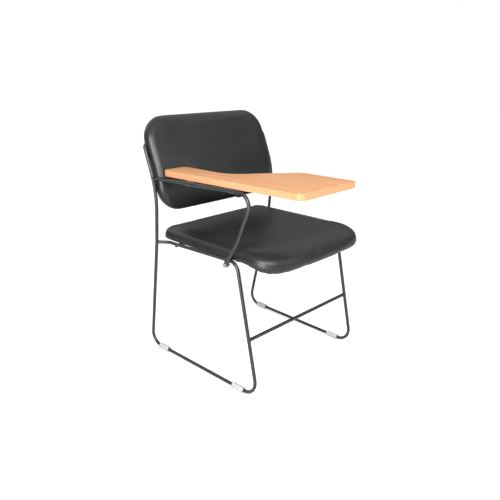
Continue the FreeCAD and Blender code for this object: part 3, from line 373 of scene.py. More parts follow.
@dataclass(frozen=True)
class Finish:
    """A finish of one material slot: by itself one tone, with patches and a rippled skin.

    Args:
        slot: the record's slot.
        colour: the main colour, linear.
        roughness: roughness of the clean surface.
        relief: its fine relief.
        patches: its patches, if it has any.
        constants: further inputs of the shader and their values.
    """

    slot: Slot
    colour: Colour
    roughness: float
    relief: Relief
    patches: Patches | None = None
    constants: tuple[tuple[str, object], ...] = ()

    def material(self, effects: Effects) -> bpy.types.Material:
        """Build the finish.

        Args:
            effects: the shared shader groups.

        Returns:
            The material.
        """
        made = bpy.data.materials.new(self.slot.value)
        made.use_nodes = True
        made.diffuse_color = (*self.colour, 1.0)
        graph = Graph(made.node_tree)
        shader = made.node_tree.nodes["Principled BSDF"]
        values = (("Base Color", self.colour), ("Roughness", self.roughness), *self.constants)
        for name, value in values:
            graph.feed(shader.inputs[name], value)
        if self.patches:
            self.drift(self.patches, graph, shader, effects)
        height = self.dress(graph, shader, effects)
        bump = graph.node("ShaderNodeBump", in_Strength=self.relief.share, in_Distance=self.relief.depth)
        graph.feed(bump.inputs["Height"], height)
        graph.feed(shader.inputs["Normal"], bump.outputs["Normal"])
        return made

    def drift(self, patches: Patches, graph: Graph, shader: bpy.types.Node, effects: Effects) -> None:
        """Let tone and gloss change in patches.

        Args:
            patches: how they lie.
            graph: the material's graph.
            shader: its Principled node.
            effects: the shared shader groups.
        """
        spread = {"Scale": patches.scale, "Low": patches.low, "High": patches.high}
        mask = effects.use(graph, effects.patches, **spread)["Mask"]
        if patches.tone:
            graph.feed(shader.inputs["Base Color"], graph.blend(mask, self.colour, patches.tone))
        if patches.gloss:
            change = graph.math("MULTIPLY", mask, patches.gloss)
            graph.feed(shader.inputs["Roughness"], graph.math("ADD", self.roughness, change))

    def dress(self, graph: Graph, shader: bpy.types.Node, effects: Effects) -> bpy.types.NodeSocket:
        """Add what this finish has of its own.

        Args:
            graph: the material's graph.
            shader: its Principled node.
            effects: the shared shader groups.

        Returns:
            The height of its relief, here that of a rippled skin.
        """
        return effects.use(graph, effects.ripple, Scale=self.relief.scale)["Height"]


@dataclass(frozen=True)
class PebbledLeatherette(Finish):
    """Glossy leatherette with a fine pebble grain and faint handling creases."""

    pebbles: float = 950.0
    pebble_share: float = 0.10
    slack: float = 16.0

    def dress(self, graph: Graph, shader: bpy.types.Node, effects: Effects) -> bpy.types.NodeSocket:
        """Raise the pebbles on a slightly slack skin."""
        place = graph.places()
        cells = graph.node("ShaderNodeTexVoronoi", feature="F1", in_Vector=place, in_Scale=self.pebbles)
        graph.feed(cells.inputs["Randomness"], 0.9)
        domes = graph.ramp(cells.outputs["Distance"], ((0.0, 1.0), (0.45, 0.72), (0.85, 0.0)))
        waves = graph.noise(place, self.slack, detail=3.0, roughness=0.5, distortion=1.2)
        return graph.math("ADD", graph.math("MULTIPLY", domes, self.pebble_share), waves)


@dataclass(frozen=True)
class BeechFinish(Finish):
    """Beech figure under satin lacquer, for the laminate and for its edge band."""

    dark: Colour = (0.74, 0.33, 0.135)
    pore: Colour = (0.45, 0.17, 0.06)
    pore_share: float = 0.35
    streaks: float = 42.0
    turn: float = -0.03

    def dress(self, graph: Graph, shader: bpy.types.Node, effects: Effects) -> bpy.types.NodeSocket:
        """Add long streaks and pores."""
        wood = effects.use(graph, effects.grain, Streaks=self.streaks, Turn=self.turn)
        tone = graph.blend(wood["Figure"], self.colour, self.dark)
        pores = graph.math("MULTIPLY", wood["Pits"], self.pore_share)
        graph.feed(shader.inputs["Base Color"], graph.blend(pores, tone, self.pore))
        return wood["Figure"]


@dataclass(frozen=True)
class RawPly(Finish):
    """Raw birch plywood with its layers showing at the cut edges."""

    dark: Colour = (0.5, 0.34, 0.2)
    glue: Colour = (0.28, 0.17, 0.09)
    glue_from: float = 0.86
    glue_share: float = 0.25
    layers_per_metre: float = 700.0

    def dress(self, graph: Graph, shader: bpy.types.Node, effects: Effects) -> bpy.types.NodeSocket:
        """Add the figure, and dark glue lines through the thickness."""
        wood = effects.use(graph, effects.grain, Streaks=30.0, Turn=0.0)
        height = graph.node("ShaderNodeSeparateXYZ", in_Vector=graph.places()).outputs["Z"]
        layer = graph.math("PINGPONG", graph.math("MULTIPLY", height, self.layers_per_metre), 1.0)
        line = graph.math("MULTIPLY", graph.math("GREATER_THAN", layer, self.glue_from), self.glue_share)
        tone = graph.blend(wood["Figure"], self.colour, self.dark)
        graph.feed(shader.inputs["Base Color"], graph.blend(line, tone, self.glue))
        return wood["Figure"]


@dataclass(frozen=True)
class ChipCore(Finish):
    """Pressed wood chips, on the tablet's raw underside."""

    chip: Colour = (0.36, 0.23, 0.12)
    chips: float = 420.0

    def dress(self, graph: Graph, shader: bpy.types.Node, effects: Effects) -> bpy.types.NodeSocket:
        """Add chips of two tones and a faint relief."""
        place = graph.places()
        flakes = graph.node("ShaderNodeTexVoronoi", feature="F1", in_Vector=place, in_Scale=self.chips)
        split = graph.node("ShaderNodeSeparateColor", in_Color=flakes.outputs["Color"]).outputs
        graph.feed(shader.inputs["Base Color"], graph.blend(split["Red"], self.colour, self.chip))
        return split["Green"]


POWDER_COAT = Finish(
    Slot.ROD,
    (0.023, 0.024, 0.026),
    0.28,
    Relief(0.12 * MM, 0.5, 900.0),
    Patches(34.0, 0.56, 0.74, -0.08, (0.045, 0.046, 0.048)),
    (("Coat Weight", 0.12), ("Coat Roughness", 0.16)),
)
LEATHERETTE = PebbledLeatherette(
    Slot.PAD,
    (0.0165, 0.0185, 0.0185),
    0.31,
    Relief(1.2 * MM, 0.3),
    Patches(9.0, 0.35, 0.75, 0.06, (0.021, 0.0235, 0.0235)),
    (("Specular IOR Level", 0.42),),
)
PLYWOOD = RawPly(Slot.PLY, (0.62, 0.45, 0.28), 0.7, Relief(0.3 * MM, 0.5))
CHIPBOARD = ChipCore(Slot.CORE, (0.55, 0.4, 0.25), 0.75, Relief(0.2 * MM, 0.6))
LACQUERED = Patches(14.0, 0.45, 0.8, 0.08)
LACQUER = (("Coat Weight", 0.12), ("Coat Roughness", 0.25))
WOOD_RELIEF = Relief(0.15 * MM, 0.35)
BEECH_FACE = BeechFinish(Slot.FACE, (0.88, 0.47, 0.235), 0.3, WOOD_RELIEF, LACQUERED, LACQUER)
BEECH_EDGE = BeechFinish(
    Slot.EDGE,
    (0.85, 0.42, 0.225),
    0.34,
    WOOD_RELIEF,
    LACQUERED,
    LACQUER,
    dark=(0.88, 0.4, 0.165),
    pore=(0.6, 0.27, 0.11),
)
MILKY_NYLON = Finish(
    Slot.GLIDE,
    (0.64, 0.64, 0.63),
    0.38,
    Relief(0.2 * MM, 0.4, 500.0),
    Patches(70.0, 0.58, 0.8, 0.0, (0.62, 0.6, 0.56)),
    (("Subsurface Weight", 0.15), ("Subsurface Radius", (0.004, 0.004, 0.0035)), ("Subsurface Scale", 1.0)),
)
ZINC_PLATE = Finish(
    Slot.ZINC,
    (0.62, 0.61, 0.58),
    0.3,
    Relief(0.05 * MM, 0.4, 2400.0),
    Patches(240.0, 0.35, 0.7, 0.15, (0.42, 0.41, 0.36)),
    (("Metallic", 1.0),),
)
MATT_RUBBER = Finish(
    Slot.RUBBER,
    (0.022, 0.022, 0.022),
    0.75,
    Relief(0.1 * MM, 0.6, 1500.0),
    Patches(160.0, 0.4, 0.75, 0.0, (0.06, 0.06, 0.058)),
)
FINISHES: tuple[Finish, ...] = (
    POWDER_COAT,
    LEATHERETTE,
    PLYWOOD,
    CHIPBOARD,
    BEECH_FACE,
    BEECH_EDGE,
    MILKY_NYLON,
    ZINC_PLATE,
    MATT_RUBBER,
)


class Wardrobe:
    """The finished materials, by slot."""

    def __init__(self, effects: Effects) -> None:
        """Build every finish once.

        Args:
            effects: the shared shader groups.
        """
        self.made = {finish.slot: finish.material(effects) for finish in FINISHES}

    def dress(self, obj: bpy.types.Object, slot: Slot) -> None:
        """Give an object the finish of a slot."""
        obj.data.materials.clear()
        obj.data.materials.append(self.made[slot])


# Mesh helpers


def spot(x: float, y: float, z: float) -> Vector:
    """A dataclass field that holds a place, in metres."""
    return field(default_factory=lambda: Vector((x, y, z)))


def smooth_mesh(name: str, points: Sequence[Vector], faces: Sequence[Sequence[int]]) -> bpy.types.Mesh:
    """Make a mesh with even shading.

    Args:
        name: the mesh's name.
        points: its vertices, in metres.
        faces: its faces, as vertex numbers.

    Returns:
        The mesh.
    """
    mesh = bpy.data.meshes.new(name)
    mesh.from_pydata([tuple(point) for point in points], [], faces)
    mesh.polygons.foreach_set("use_smooth", [True] * len(mesh.polygons))
    mesh.update()
    return mesh


def linked(name: str, mesh: bpy.types.Mesh) -> bpy.types.Object:
    """An object of a mesh, put in the scene."""
    obj = bpy.data.objects.new(name, mesh)
    bpy.context.scene.collection.objects.link(obj)
    return obj


def tube_faces(rings: int, sides: int, closed: bool, first: int = 0) -> list[tuple[int, ...]]:
    """Faces of a tube whose points come ring by ring.

    Args:
        rings: number of rings.
        sides: points of each ring.
        closed: whether the last ring meets the first, as else both ends are capped.
        first: number of the first point.

    Returns:
        The faces, as point numbers.
    """
    faces: list[tuple[int, ...]] = []
    for ring in range(rings if closed else rings - 1):
        here, there = first + ring * sides, first + (ring + 1) % rings * sides
        for turn in range(sides):
            step = (turn + 1) % sides
            faces.append((here + turn, here + step, there + step, there + turn))
    if not closed:
        last = first + (rings - 1) * sides
        faces.append(tuple(range(first, first + sides))[::-1])
        faces.append(tuple(range(last, last + sides)))
    return faces


def corner_arcs(
    half: float, low: float, high: float, radius: float, inset: float, steps: int
) -> list[tuple[float, float]]:
    """Points on the four round corners of a rectangle, all round.

    Args:
        half: half its width.
        low: its lower side's place.
        high: its upper side's place.
        radius: the corners' radius.
        inset: how far inside the outline the points lie.
        steps: how many parts each corner has.

    Returns:
        The places across and along.
    """
    side, reach = half - radius, radius - inset
    top, bottom = high - radius, low + radius
    centres = ((side, top), (-side, top), (-side, bottom), (side, bottom))
    points = []
    for (x, y), start in zip(centres, (0.0, 90.0, 180.0, 270.0)):
        for number in range(steps + 1):
            angle = math.radians(start + 90.0 * number / steps)
            points.append((x + reach * math.cos(angle), y + reach * math.sin(angle)))
    return points


def resampled(line: list[Vector], count: int) -> list[Vector]:
    """Spread points evenly round a closed line.

    Args:
        line: the closed line's corners.
        count: how many points to return.

    Returns:
        The evenly spaced points.
    """
    ends = line[1:] + line[:1]
    lengths = [(b - a).length for a, b in zip(line, ends)]
    total = sum(lengths)
    points, number, passed = [], 0, 0.0
    for step in range(count):
        target = total * step / count
        while passed + lengths[number] < target:
            passed += lengths[number]
            number += 1
        share = (target - passed) / max(lengths[number], 1e-9)
        points.append(line[number].lerp(ends[number], share))
    return points


def baked(obj: bpy.types.Object) -> bpy.types.Mesh:
    """The mesh of an object with its modifiers applied."""
    graph = bpy.context.evaluated_depsgraph_get()
    return bpy.data.meshes.new_from_object(obj.evaluated_get(graph))


def rows(values: bpy.types.bpy_prop_collection, key: str) -> np.ndarray:
    """A three-part property of a mesh's points as rows of X, Y and Z."""
    flat = np.empty(len(values) * 3, np.float64)
    values.foreach_get(key, flat)
    return flat.reshape(-1, 3)


def coordinates(mesh: bpy.types.Mesh) -> np.ndarray:
    """The vertices of a mesh as rows of X, Y and Z."""
    return rows(mesh.vertices, "co")


def directions(mesh: bpy.types.Mesh) -> np.ndarray:
    """The outward direction at each vertex of a mesh, as rows of X, Y and Z."""
    return rows(mesh.vertex_normals, "vector")


def set_coordinates(mesh: bpy.types.Mesh, points: np.ndarray) -> None:
    """Write rows of X, Y and Z back to a mesh."""
    mesh.vertices.foreach_set("co", points.astype(np.float32).ravel())
    mesh.update()


def smooth_step(share: np.ndarray) -> np.ndarray:
    """Ease from 0 to 1 as each value goes from 0 to 1."""
    held = np.clip(share, 0.0, 1.0)
    return held * held * (3.0 - 2.0 * held)


PULL_AND_PUSH = (0.55, -0.57)
PULL = (0.5,)


def relaxed(
    mesh: bpy.types.Mesh, points: np.ndarray, rounds: int, hold: np.ndarray, steps: tuple[float, ...]
) -> np.ndarray:
    """Even out a surface, without shrinking it where a pull in and a push out go in turn.

    Args:
        mesh: the mesh that gives the neighbours.
        points: rows of X, Y and Z.
        rounds: how often the steps are made.
        hold: from 0, free, to 1, kept in place, for each point.
        steps: share of the way to the neighbours' middle that each step goes.

    Returns:
        The new rows.
    """
    pairs = np.empty(len(mesh.edges) * 2, np.int64)
    mesh.edges.foreach_get("vertices", pairs)
    first, second = pairs.reshape(-1, 2).T
    count = np.bincount(np.concatenate((first, second)), minlength=len(points)).astype(float)
    free = (1.0 - hold)[:, None]
    moved = points.copy()
    for step in steps * rounds:
        total = np.zeros_like(moved)
        for axis in range(3):
            total[:, axis] = np.bincount(first, moved[second, axis], len(points))
            total[:, axis] += np.bincount(second, moved[first, axis], len(points))
        moved += (total / count[:, None] - moved) * step * free
    return moved


def nearest(points: np.ndarray, nodes: Iterable[bpy.types.Object]) -> np.ndarray:
    """Distance from each point to the closest surface of some solids.

    Args:
        points: rows of X, Y and Z.
        nodes: the solids' objects.

    Returns:
        One distance for each point, in metres, and 1 where there is no solid.
    """
    best = np.full(len(points), 1.0)
    for node in nodes:
        faces = [tuple(face.vertices) for face in node.data.polygons]
        tree = BVHTree.FromPolygons([vertex.co for vertex in node.data.vertices], faces)
        for number, point in enumerate(points):
            found = tree.find_nearest(point, best[number])
            if found[3] is not None:
                best[number] = min(best[number], found[3])
    return best


# Weld beads


@dataclass
class Bead:
    """A rippled weld bead along a path.

    Args:
        name: the piece's name.
        path: the points it follows, in metres.
        radius: half its width, in metres.
        closed: whether it runs all the way round.
    """

    name: str
    path: list[Vector]
    radius: float
    closed: bool = False
    sides: int = 10
    ripple: float = 0.16
    pitch: float = 1.3 * MM
    end_share: float = 0.35
    upright: float = 0.9

    def build(self) -> bpy.types.Object:
        """Sweep the bead.

        Returns:
            The bead's object.
        """
        points, run, count = [], 0.0, len(self.path)
        for number, centre in enumerate(self.path):
            before = self.path[number - 1] if number or self.closed else centre
            after = self.path[(number + 1) % count] if number + 1 < count or self.closed else centre
            along = (after - before).normalized()
            side = (along.orthogonal() if abs(along.z) > self.upright else along.cross(UP)).normalized()
            over = along.cross(side)
            run += (centre - self.path[number - 1]).length if number else 0.0
            wide = self.radius * (1 + self.ripple * math.sin(math.tau * run / self.pitch))
            if not self.closed:
                wide *= min(1.0, self.end_share + (1 - self.end_share) * min(number, count - 1 - number) / 2)
            for turn in range(self.sides):
                angle = math.tau * turn / self.sides
                points.append(centre + (side * math.cos(angle) + over * math.sin(angle)) * wide)
        return linked(self.name, smooth_mesh(self.name, points, tube_faces(count, self.sides, self.closed)))


def saddle(centre: Vector, main: Vector, branch: Vector) -> list[Vector]:
    """The line on which one rod's end meets the side of another.

    Args:
        centre: the point of the main rod's axis that the branch points at.
        main: direction of the main rod.
        branch: direction of the branch, towards the main rod.

    Returns:
        Points round the branch, on the main rod.
    """
    steps, widest = 48, 0.97 * ROD_R
    across = branch.cross(main).normalized()
    points = []
    for number in range(steps):
        angle = math.tau * number / steps
        offset, side = ROD_R * math.sin(angle), ROD_R * math.cos(angle)
        depth = math.sqrt(ROD_R * ROD_R - min(abs(offset), widest) ** 2)
        points.append(centre - branch * depth + main * side + across * offset)
    return points


# Stuffed pads


@dataclass
class StuffedPad:
    """A foam pad under tight leatherette, swollen by a short cloth simulation.

    Args:
        name: the piece's name.
        node: the plain solid that it replaces.
        carriers: solids that the pad is fixed to, where it can't swell.
        cap: how far a point may move, in metres.
        pressure: the cloth's inner pressure.
        fill: how full it is, from 0 to 1; not used.
        clear_of: solids that it may not swell towards.
        slide: share of its sideways moves that is kept.
        rounding: rounds that take its free edges down.
    """

    name: str
    node: str
    carriers: tuple[str, ...]
    cap: float
    pressure: float
    fill: float
    clear_of: tuple[str, ...] = ()
    slide: float = 0.25
    rounding: int = 3
    voxel: float = 5.0 * MM
    frames: int = 20
    hold_near: float = 3.5 * MM
    hold_far: float = 16.0 * MM
    clear_near: float = 8.0 * MM
    clear_span: float = 22.0 * MM
    firm_near: float = 7.0 * MM
    firm_span: float = 6.0 * MM
    sink: float = 0.3 * MM
    first_easing: int = 9
    swollen_rounding: int = 6
    last_easing: int = 8

    def build(self, nodes: dict[str, bpy.types.Object]) -> bpy.types.Object:
        """Make the pad's skin.

        Args:
            nodes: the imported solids' objects.

        Returns:
            The pad's object.
        """
        skin = linked(self.name, self.blank(nodes))
        even = skin.modifiers.new("even", "REMESH")
        even.mode = "VOXEL"
        even.voxel_size = self.voxel
        mesh = baked(skin)
        skin.modifiers.clear()
        skin.data = mesh
        rest = coordinates(mesh)
        gap = nearest(rest, [nodes[name] for name in self.carriers])
        near = nearest(rest, [nodes[name] for name in self.clear_of])
        tight = self.tight(rest)
        fixed = 1.0 - np.clip((gap - self.hold_near) / (self.hold_far - self.hold_near), 0.0, 1.0)
        shy = 1.0 - smooth_step((near - self.clear_near) / self.clear_span)
        hold = np.maximum(np.maximum(fixed, tight), shy)
        touching = np.where(gap < self.hold_near, 1.0, 0.0)
        firm = np.maximum(1.0 - smooth_step((gap - self.firm_near) / self.firm_span), tight)
        smooth = relaxed(mesh, rest, self.first_easing, touching, PULL_AND_PUSH)
        smooth = relaxed(mesh, smooth, self.rounding, firm, PULL)
        smooth = self.fuller(mesh, smooth)
        set_coordinates(mesh, smooth)
        outward = directions(mesh)
        smooth = self.capped(smooth, self.swell(skin, hold), outward)
        smooth = relaxed(mesh, smooth, self.swollen_rounding, firm, PULL)
        smooth = relaxed(mesh, smooth, self.last_easing, touching, PULL_AND_PUSH)
        set_coordinates(mesh, self.finished(smooth))
        mesh.polygons.foreach_set("use_smooth", [True] * len(mesh.polygons))
        finer = skin.modifiers.new("finer", "SUBSURF")
        finer.levels = finer.render_levels = 1
        return skin

    def blank(self, nodes: dict[str, bpy.types.Object]) -> bpy.types.Mesh:
        """The closed form that is stuffed, here the plain solid's own."""
        return nodes[self.node].data.copy()

    def tight(self, points: np.ndarray) -> np.ndarray:
        """Further places that can't swell, from 0 to 1 for each point."""
        return np.zeros(len(points))

    def fuller(self, mesh: bpy.types.Mesh, points: np.ndarray) -> np.ndarray:
        """Fuller places of the form before it is stuffed."""
        return points

    def finished(self, points: np.ndarray) -> np.ndarray:
        """Last moves of the skin, after the simulation."""
        return points

    def swell(self, skin: bpy.types.Object, hold: np.ndarray) -> np.ndarray:
        """Run the cloth simulation.

        Args:
            skin: the pad's object.
            hold: how firmly each point is held.

        Returns:
            The points after the last frame.
        """
        group = skin.vertex_groups.new(name="held")
        for number, weight in enumerate(hold):
            if weight > 0.001:
                group.add([number], float(weight), "REPLACE")
        cloth = skin.modifiers.new("cloth", "CLOTH")
        rules = cloth.settings
        rules.quality = 4
        rules.mass = 0.4
        rules.tension_stiffness = 12.0
        rules.compression_stiffness = 9.0
        rules.shear_stiffness = 6.0
        rules.bending_stiffness = 6.0
        rules.use_pressure = True
        rules.uniform_pressure_force = self.pressure
        rules.vertex_group_mass = "held"
        rules.effector_weights.gravity = 0.0
        cloth.collision_settings.use_collision = False
        cloth.point_cache.frame_start = 1
        cloth.point_cache.frame_end = self.frames
        scene = bpy.context.scene
        for number in range(1, self.frames + 1):
            scene.frame_set(number)
        moved = coordinates(baked(skin))
        skin.modifiers.clear()
        skin.vertex_groups.clear()
        scene.frame_set(1)
        return moved

    def capped(self, start: np.ndarray, moved: np.ndarray, outward: np.ndarray) -> np.ndarray:
        """Limit each move, so that the pad swells outward and hardly slides or sinks.

        Args:
            start: the points before.
            moved: the points after.
            outward: the skin's outward direction at each point before.

        Returns:
            The limited points.
        """
        move = moved - start
        rise = np.sum(move * outward, axis=1, keepdims=True)
        along = (move - rise * outward) * self.slide
        out, sunk = self.cap * np.tanh(rise / self.cap), self.sink * np.tanh(rise / self.sink)
        eased = np.where(rise > 0.0, out, sunk)
        reach = np.linalg.norm(along, axis=1, keepdims=True)
        along *= self.cap * np.tanh(reach / self.cap) / np.maximum(reach, 1e-9)
        return start + outward * eased + along


@dataclass
class SeatPad(StuffedPad):
    """The seat's pad, flat under its board and pulled in pleats round its lower corners.

    Its corners are pairs of their arc's centre along the chair and their radius.
    """

    half: float = 234.0 * MM
    under: float = 423.5 * MM
    tight_margin: float = 20.0 * MM
    tight_front: float = -130.0 * MM
    lip_rear: float = -60.0 * MM
    lip_blend: float = 120.0 * MM
    lip_rounds: int = 18
    lip_fill: float = 2.5 * MM
    rail_r: float = 5.8 * MM
    rail_sink: float = 3.0 * MM
    rail_span: tuple[float, float] = (-0.3, 1.15)
    side_width: float = 32.0 * MM
    side_blend: float = 24.0 * MM
    side_bulge: float = 4.5 * MM
    droop_top: float = 446.0 * MM
    droop_blend: float = 20.0 * MM
    droop_front: float = -150.0 * MM
    droop_run: float = 60.0 * MM
    corners: tuple[tuple[float, float], ...] = ((-165.0 * MM, 82.0 * MM), (226.0 * MM, 34.0 * MM))
    pleats_per_metre: float = 920.0
    pleat_depth: float = 0.7 * MM
    pleat_top: float = 436.0 * MM
    pleat_blend: float = 20.0 * MM

    def tight(self, points: np.ndarray) -> np.ndarray:
        """The flat underside is pulled tight."""
        inside = np.abs(points[:, 0]) < self.half - self.tight_margin
        behind = points[:, 1] > self.tight_front
        return np.where(inside & behind & (points[:, 2] < self.under), 1.0, 0.0)

    def fuller(self, mesh: bpy.types.Mesh, points: np.ndarray) -> np.ndarray:
        """Round the front lip and its corners to a broad roll, and fill it out again.

        Args:
            mesh: the skin's mesh.
            points: the skin's points.

        Returns:
            The points, moved at the front only.
        """
        zone = smooth_step((self.lip_rear - points[:, 1]) / self.lip_blend)
        eased = relaxed(mesh, points, self.lip_rounds, 1.0 - zone, PULL)
        set_coordinates(mesh, eased)
        return eased + directions(mesh) * zone[:, None] * self.lip_fill

    def settled(self, points: np.ndarray) -> np.ndarray:
        """Let the soft side edges hang down onto the rails.

        Args:
            points: the skin's points.

        Returns:
            The points, moved down and out over the rails but never into them.
        """
        moved = points.copy()
        outward = np.sign(points[:, 0])
        share = np.clip((points[:, 1] - RAIL_FRONT.y) / (RAIL_REAR.y - RAIL_FRONT.y), *self.rail_span)
        rail_z = RAIL_FRONT.z + (RAIL_REAR.z - RAIL_FRONT.z) * share
        rail_x = RAIL_FRONT.x + (RAIL_REAR.x - RAIL_FRONT.x) * share
        side = smooth_step((np.abs(points[:, 0]) - (self.half - self.side_width)) / self.side_blend)
        low = smooth_step((self.droop_top - points[:, 2]) / self.droop_blend)
        along = smooth_step((points[:, 1] - self.droop_front) / self.droop_run)
        weight = side * low * along
        moved[:, 2] -= weight * np.maximum(0.0, self.under - (rail_z + self.rail_r - self.rail_sink))
        moved[:, 0] += outward * weight * self.side_bulge
        off_x = np.abs(moved[:, 0]) - rail_x
        off_z = moved[:, 2] - rail_z
        reach = np.maximum(np.hypot(off_x, off_z), 1e-6)
        push = np.where(along > 0.0, np.maximum(0.0, self.rail_r - reach), 0.0)
        moved[:, 0] += outward * off_x / reach * push
        moved[:, 2] += off_z / reach * push
        return moved

    def finished(self, points: np.ndarray) -> np.ndarray:
        """Set the sides on the rails and gather pleats where the leatherette turns under each corner.

        Args:
            points: the skin's points.

        Returns:
            The moved points.
        """
        points = self.settled(points)
        moved = points.copy()
        low = np.clip((self.pleat_top - points[:, 2]) / self.pleat_blend, 0.0, 1.0)
        for side in (-1.0, 1.0):
            for centre, radius in self.corners:
                end = math.copysign(1.0, centre)
                away_x = points[:, 0] * side - (self.half - radius)
                away_y = (points[:, 1] - centre) * end
                corner = (away_x > 0) & (away_y > 0)
                angle = np.arctan2(away_y, np.maximum(away_x, 1e-6))
                edge = np.sin(np.clip(angle, 0.0, math.pi / 2) * 2.0) * low
                ripple = np.sin(angle * self.pleats_per_metre * radius) * self.pleat_depth * edge
                outward = np.stack((side * np.cos(angle), end * np.sin(angle)), axis=1)
                moved[:, :2] += np.where(corner[:, None], outward * ripple[:, None], 0.0)
        return moved


@dataclass
class BackPad(StuffedPad):
    """The back's pad, bent as the uprights are and broadly rolled all round its front.

    Its outline is the plain solid's, its sides are fuller, and it has no bores and pockets.
    The rear edge is given from the flat rear outwards, as pairs of inset and place ahead.
    """

    lumbar: tuple[float, float] = (221.3 * MM, 580.0 * MM)
    low_lean: float = math.radians(-6.444)
    bend: float = 280.0 * MM
    half: float = 257.0 * MM
    low: float = -73.4 * MM
    top: float = 233.8 * MM
    corner: float = 82.0 * MM
    flat_inset: float = 60.0 * MM
    rear: float = 14.9 * MM
    rear_edge: tuple[tuple[float, float], ...] = ((14.0, -14.9), (7.0, -15.6), (3.0, -13.4), (0.6, -9.0))
    side: float = 1.0 * MM
    side_bulge: float = 2.0 * MM
    roll: float = 27.0 * MM
    roll_steps: int = 10
    face: float = 26.0 * MM
    crown: float = 3.0 * MM
    arc_steps: int = 12
    run_steps: int = 24
    inner_rings: tuple[float, ...] = (0.75, 0.5, 0.25)

    @property
    def middle(self) -> float:
        """The outline's middle, along the bent line."""
        return (self.low + self.top) / 2

    def place(self, x: float, along: float, ahead: float) -> Vector:
        """A point of the bent pad.

        Args:
            x: across the chair.
            along: up the bent line from its corner.
            ahead: forward from the line.

        Returns:
            The point.
        """
        half_bend = (BACK_LEAN - self.low_lean) / 2
        reach, arc = self.bend * math.tan(half_bend), self.bend * 2 * half_bend
        if along < -reach:
            lean, run = self.low_lean, along
        elif along > arc - reach:
            lean, run = BACK_LEAN, along - arc + 2 * reach
        else:
            lean = self.low_lean + (along + reach) / self.bend
            centre_y = self.lumbar[0] - reach * math.sin(self.low_lean) + self.bend * math.cos(self.low_lean)
            centre_z = self.lumbar[1] - reach * math.cos(self.low_lean) - self.bend * math.sin(self.low_lean)
            out = self.bend + ahead
            return Vector((x, centre_y - out * math.cos(lean), centre_z + out * math.sin(lean)))
        y = self.lumbar[0] + run * math.sin(lean) - ahead * math.cos(lean)
        return Vector((x, y, self.lumbar[1] + run * math.cos(lean) + ahead * math.sin(lean)))

    def ring(self, inset: float) -> list[tuple[float, float]]:
        """The rounded outline at an inset, as places across and along."""
        corners = corner_arcs(self.half, self.low, self.top, self.corner, inset, self.arc_steps)
        size = self.arc_steps + 1
        points: list[tuple[float, float]] = []
        for first in range(0, len(corners), size):
            points += corners[first : first + size]
            (x, along), (to_x, to_along) = points[-1], corners[(first + size) % len(corners)]
            for step in range(1, self.run_steps):
                share = step / self.run_steps
                points.append((x + (to_x - x) * share, along + (to_along - along) * share))
        return points

    def crowned(self, x: float, along: float, ahead: float) -> Vector:
        """A point of the pad's front, on its crown."""
        half_run = (self.top - self.low) / 2
        dome = max(0.0, 1 - (x / self.half) ** 2) * max(0.0, 1 - ((along - self.middle) / half_run) ** 2)
        return self.place(x, along, ahead + self.crown * dome)

    def blank(self, nodes: dict[str, bpy.types.Object]) -> bpy.types.Mesh:
        """The pad before it is stuffed, as rings from the middle of its rear to the middle of its front.

        Args:
            nodes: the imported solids' objects, which aren't needed here.

        Returns:
            The closed mesh.
        """
        points = [self.place(x, along, -self.rear) for x, along in self.ring(self.flat_inset)]
        for inset, ahead in self.rear_edge:
            points += [self.place(x, along, ahead * MM) for x, along in self.ring(inset * MM)]
        for step in range(self.roll_steps + 1):
            share = step / self.roll_steps
            angle = math.pi / 2 * share
            inset = self.roll * (1 - math.cos(angle)) - self.side_bulge * (1 - share)
            ahead = self.side + (self.face - self.side) * math.sin(angle)
            points += [self.crowned(x, along, ahead) for x, along in self.ring(inset)]
        inner = self.ring(self.flat_inset)
        for share in (1.0, *self.inner_rings):
            places = [(x * share, self.middle + (along - self.middle) * share) for x, along in inner]
            points += [self.crowned(x, along, self.face) for x, along in places]
        return smooth_mesh("back_blank", points, tube_faces(len(points) // len(inner), len(inner), False))


# Sub-assemblies


@dataclass
class Assembly:
    """Pieces that are built and dressed together.

    Args:
        wardrobe: the finishes.
    """

    frame: dict
    wardrobe: Wardrobe
    added: list[bpy.types.Object] = field(default_factory=list)
    solids = Solids({})

    def build(self) -> None:
        """Make the pieces that the solids leave out."""

    def dress(self) -> None:
        """Give each solid its finish and even shading."""
        for slot, names in self.solids.items():
            for name in names:
                node = self.frame["nodes"][name]
                self.wardrobe.dress(node, slot)
                self.shade(node)
                LOG.info("%s dressed as %s", name, slot.value)

    @staticmethod
    def shade(node: bpy.types.Object) -> None:
        """Join a solid's split faces and round its sharp edges a little, without touching its mesh."""
        join = node.modifiers.new("join", "WELD")
        join.merge_threshold = 0.002 * MM
        ease = node.modifiers.new("ease", "BEVEL")
        ease.width = 0.25 * MM
        ease.segments = 2
        ease.limit_method = "ANGLE"
        ease.angle_limit = math.radians(40.0)
        ease.harden_normals = False

    def add(self, obj: bpy.types.Object, slot: Slot, body: Body) -> None:
        """Dress a new piece and let it ride on a body.

        Args:
            obj: the piece.
            slot: its finish.
            body: what it moves with.
        """
        self.wardrobe.dress(obj, slot)
        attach(obj, body.value)
        self.added.append(obj)
        LOG.info("%s added, %d points", obj.name, len(obj.data.vertices))

    def weld(self, name: str, line: list[Vector], radius: float, closed: bool) -> None:
        """Add one bead of weld."""
        self.add(Bead(name, line, radius, closed).build(), Slot.ROD, Body.FRAME)


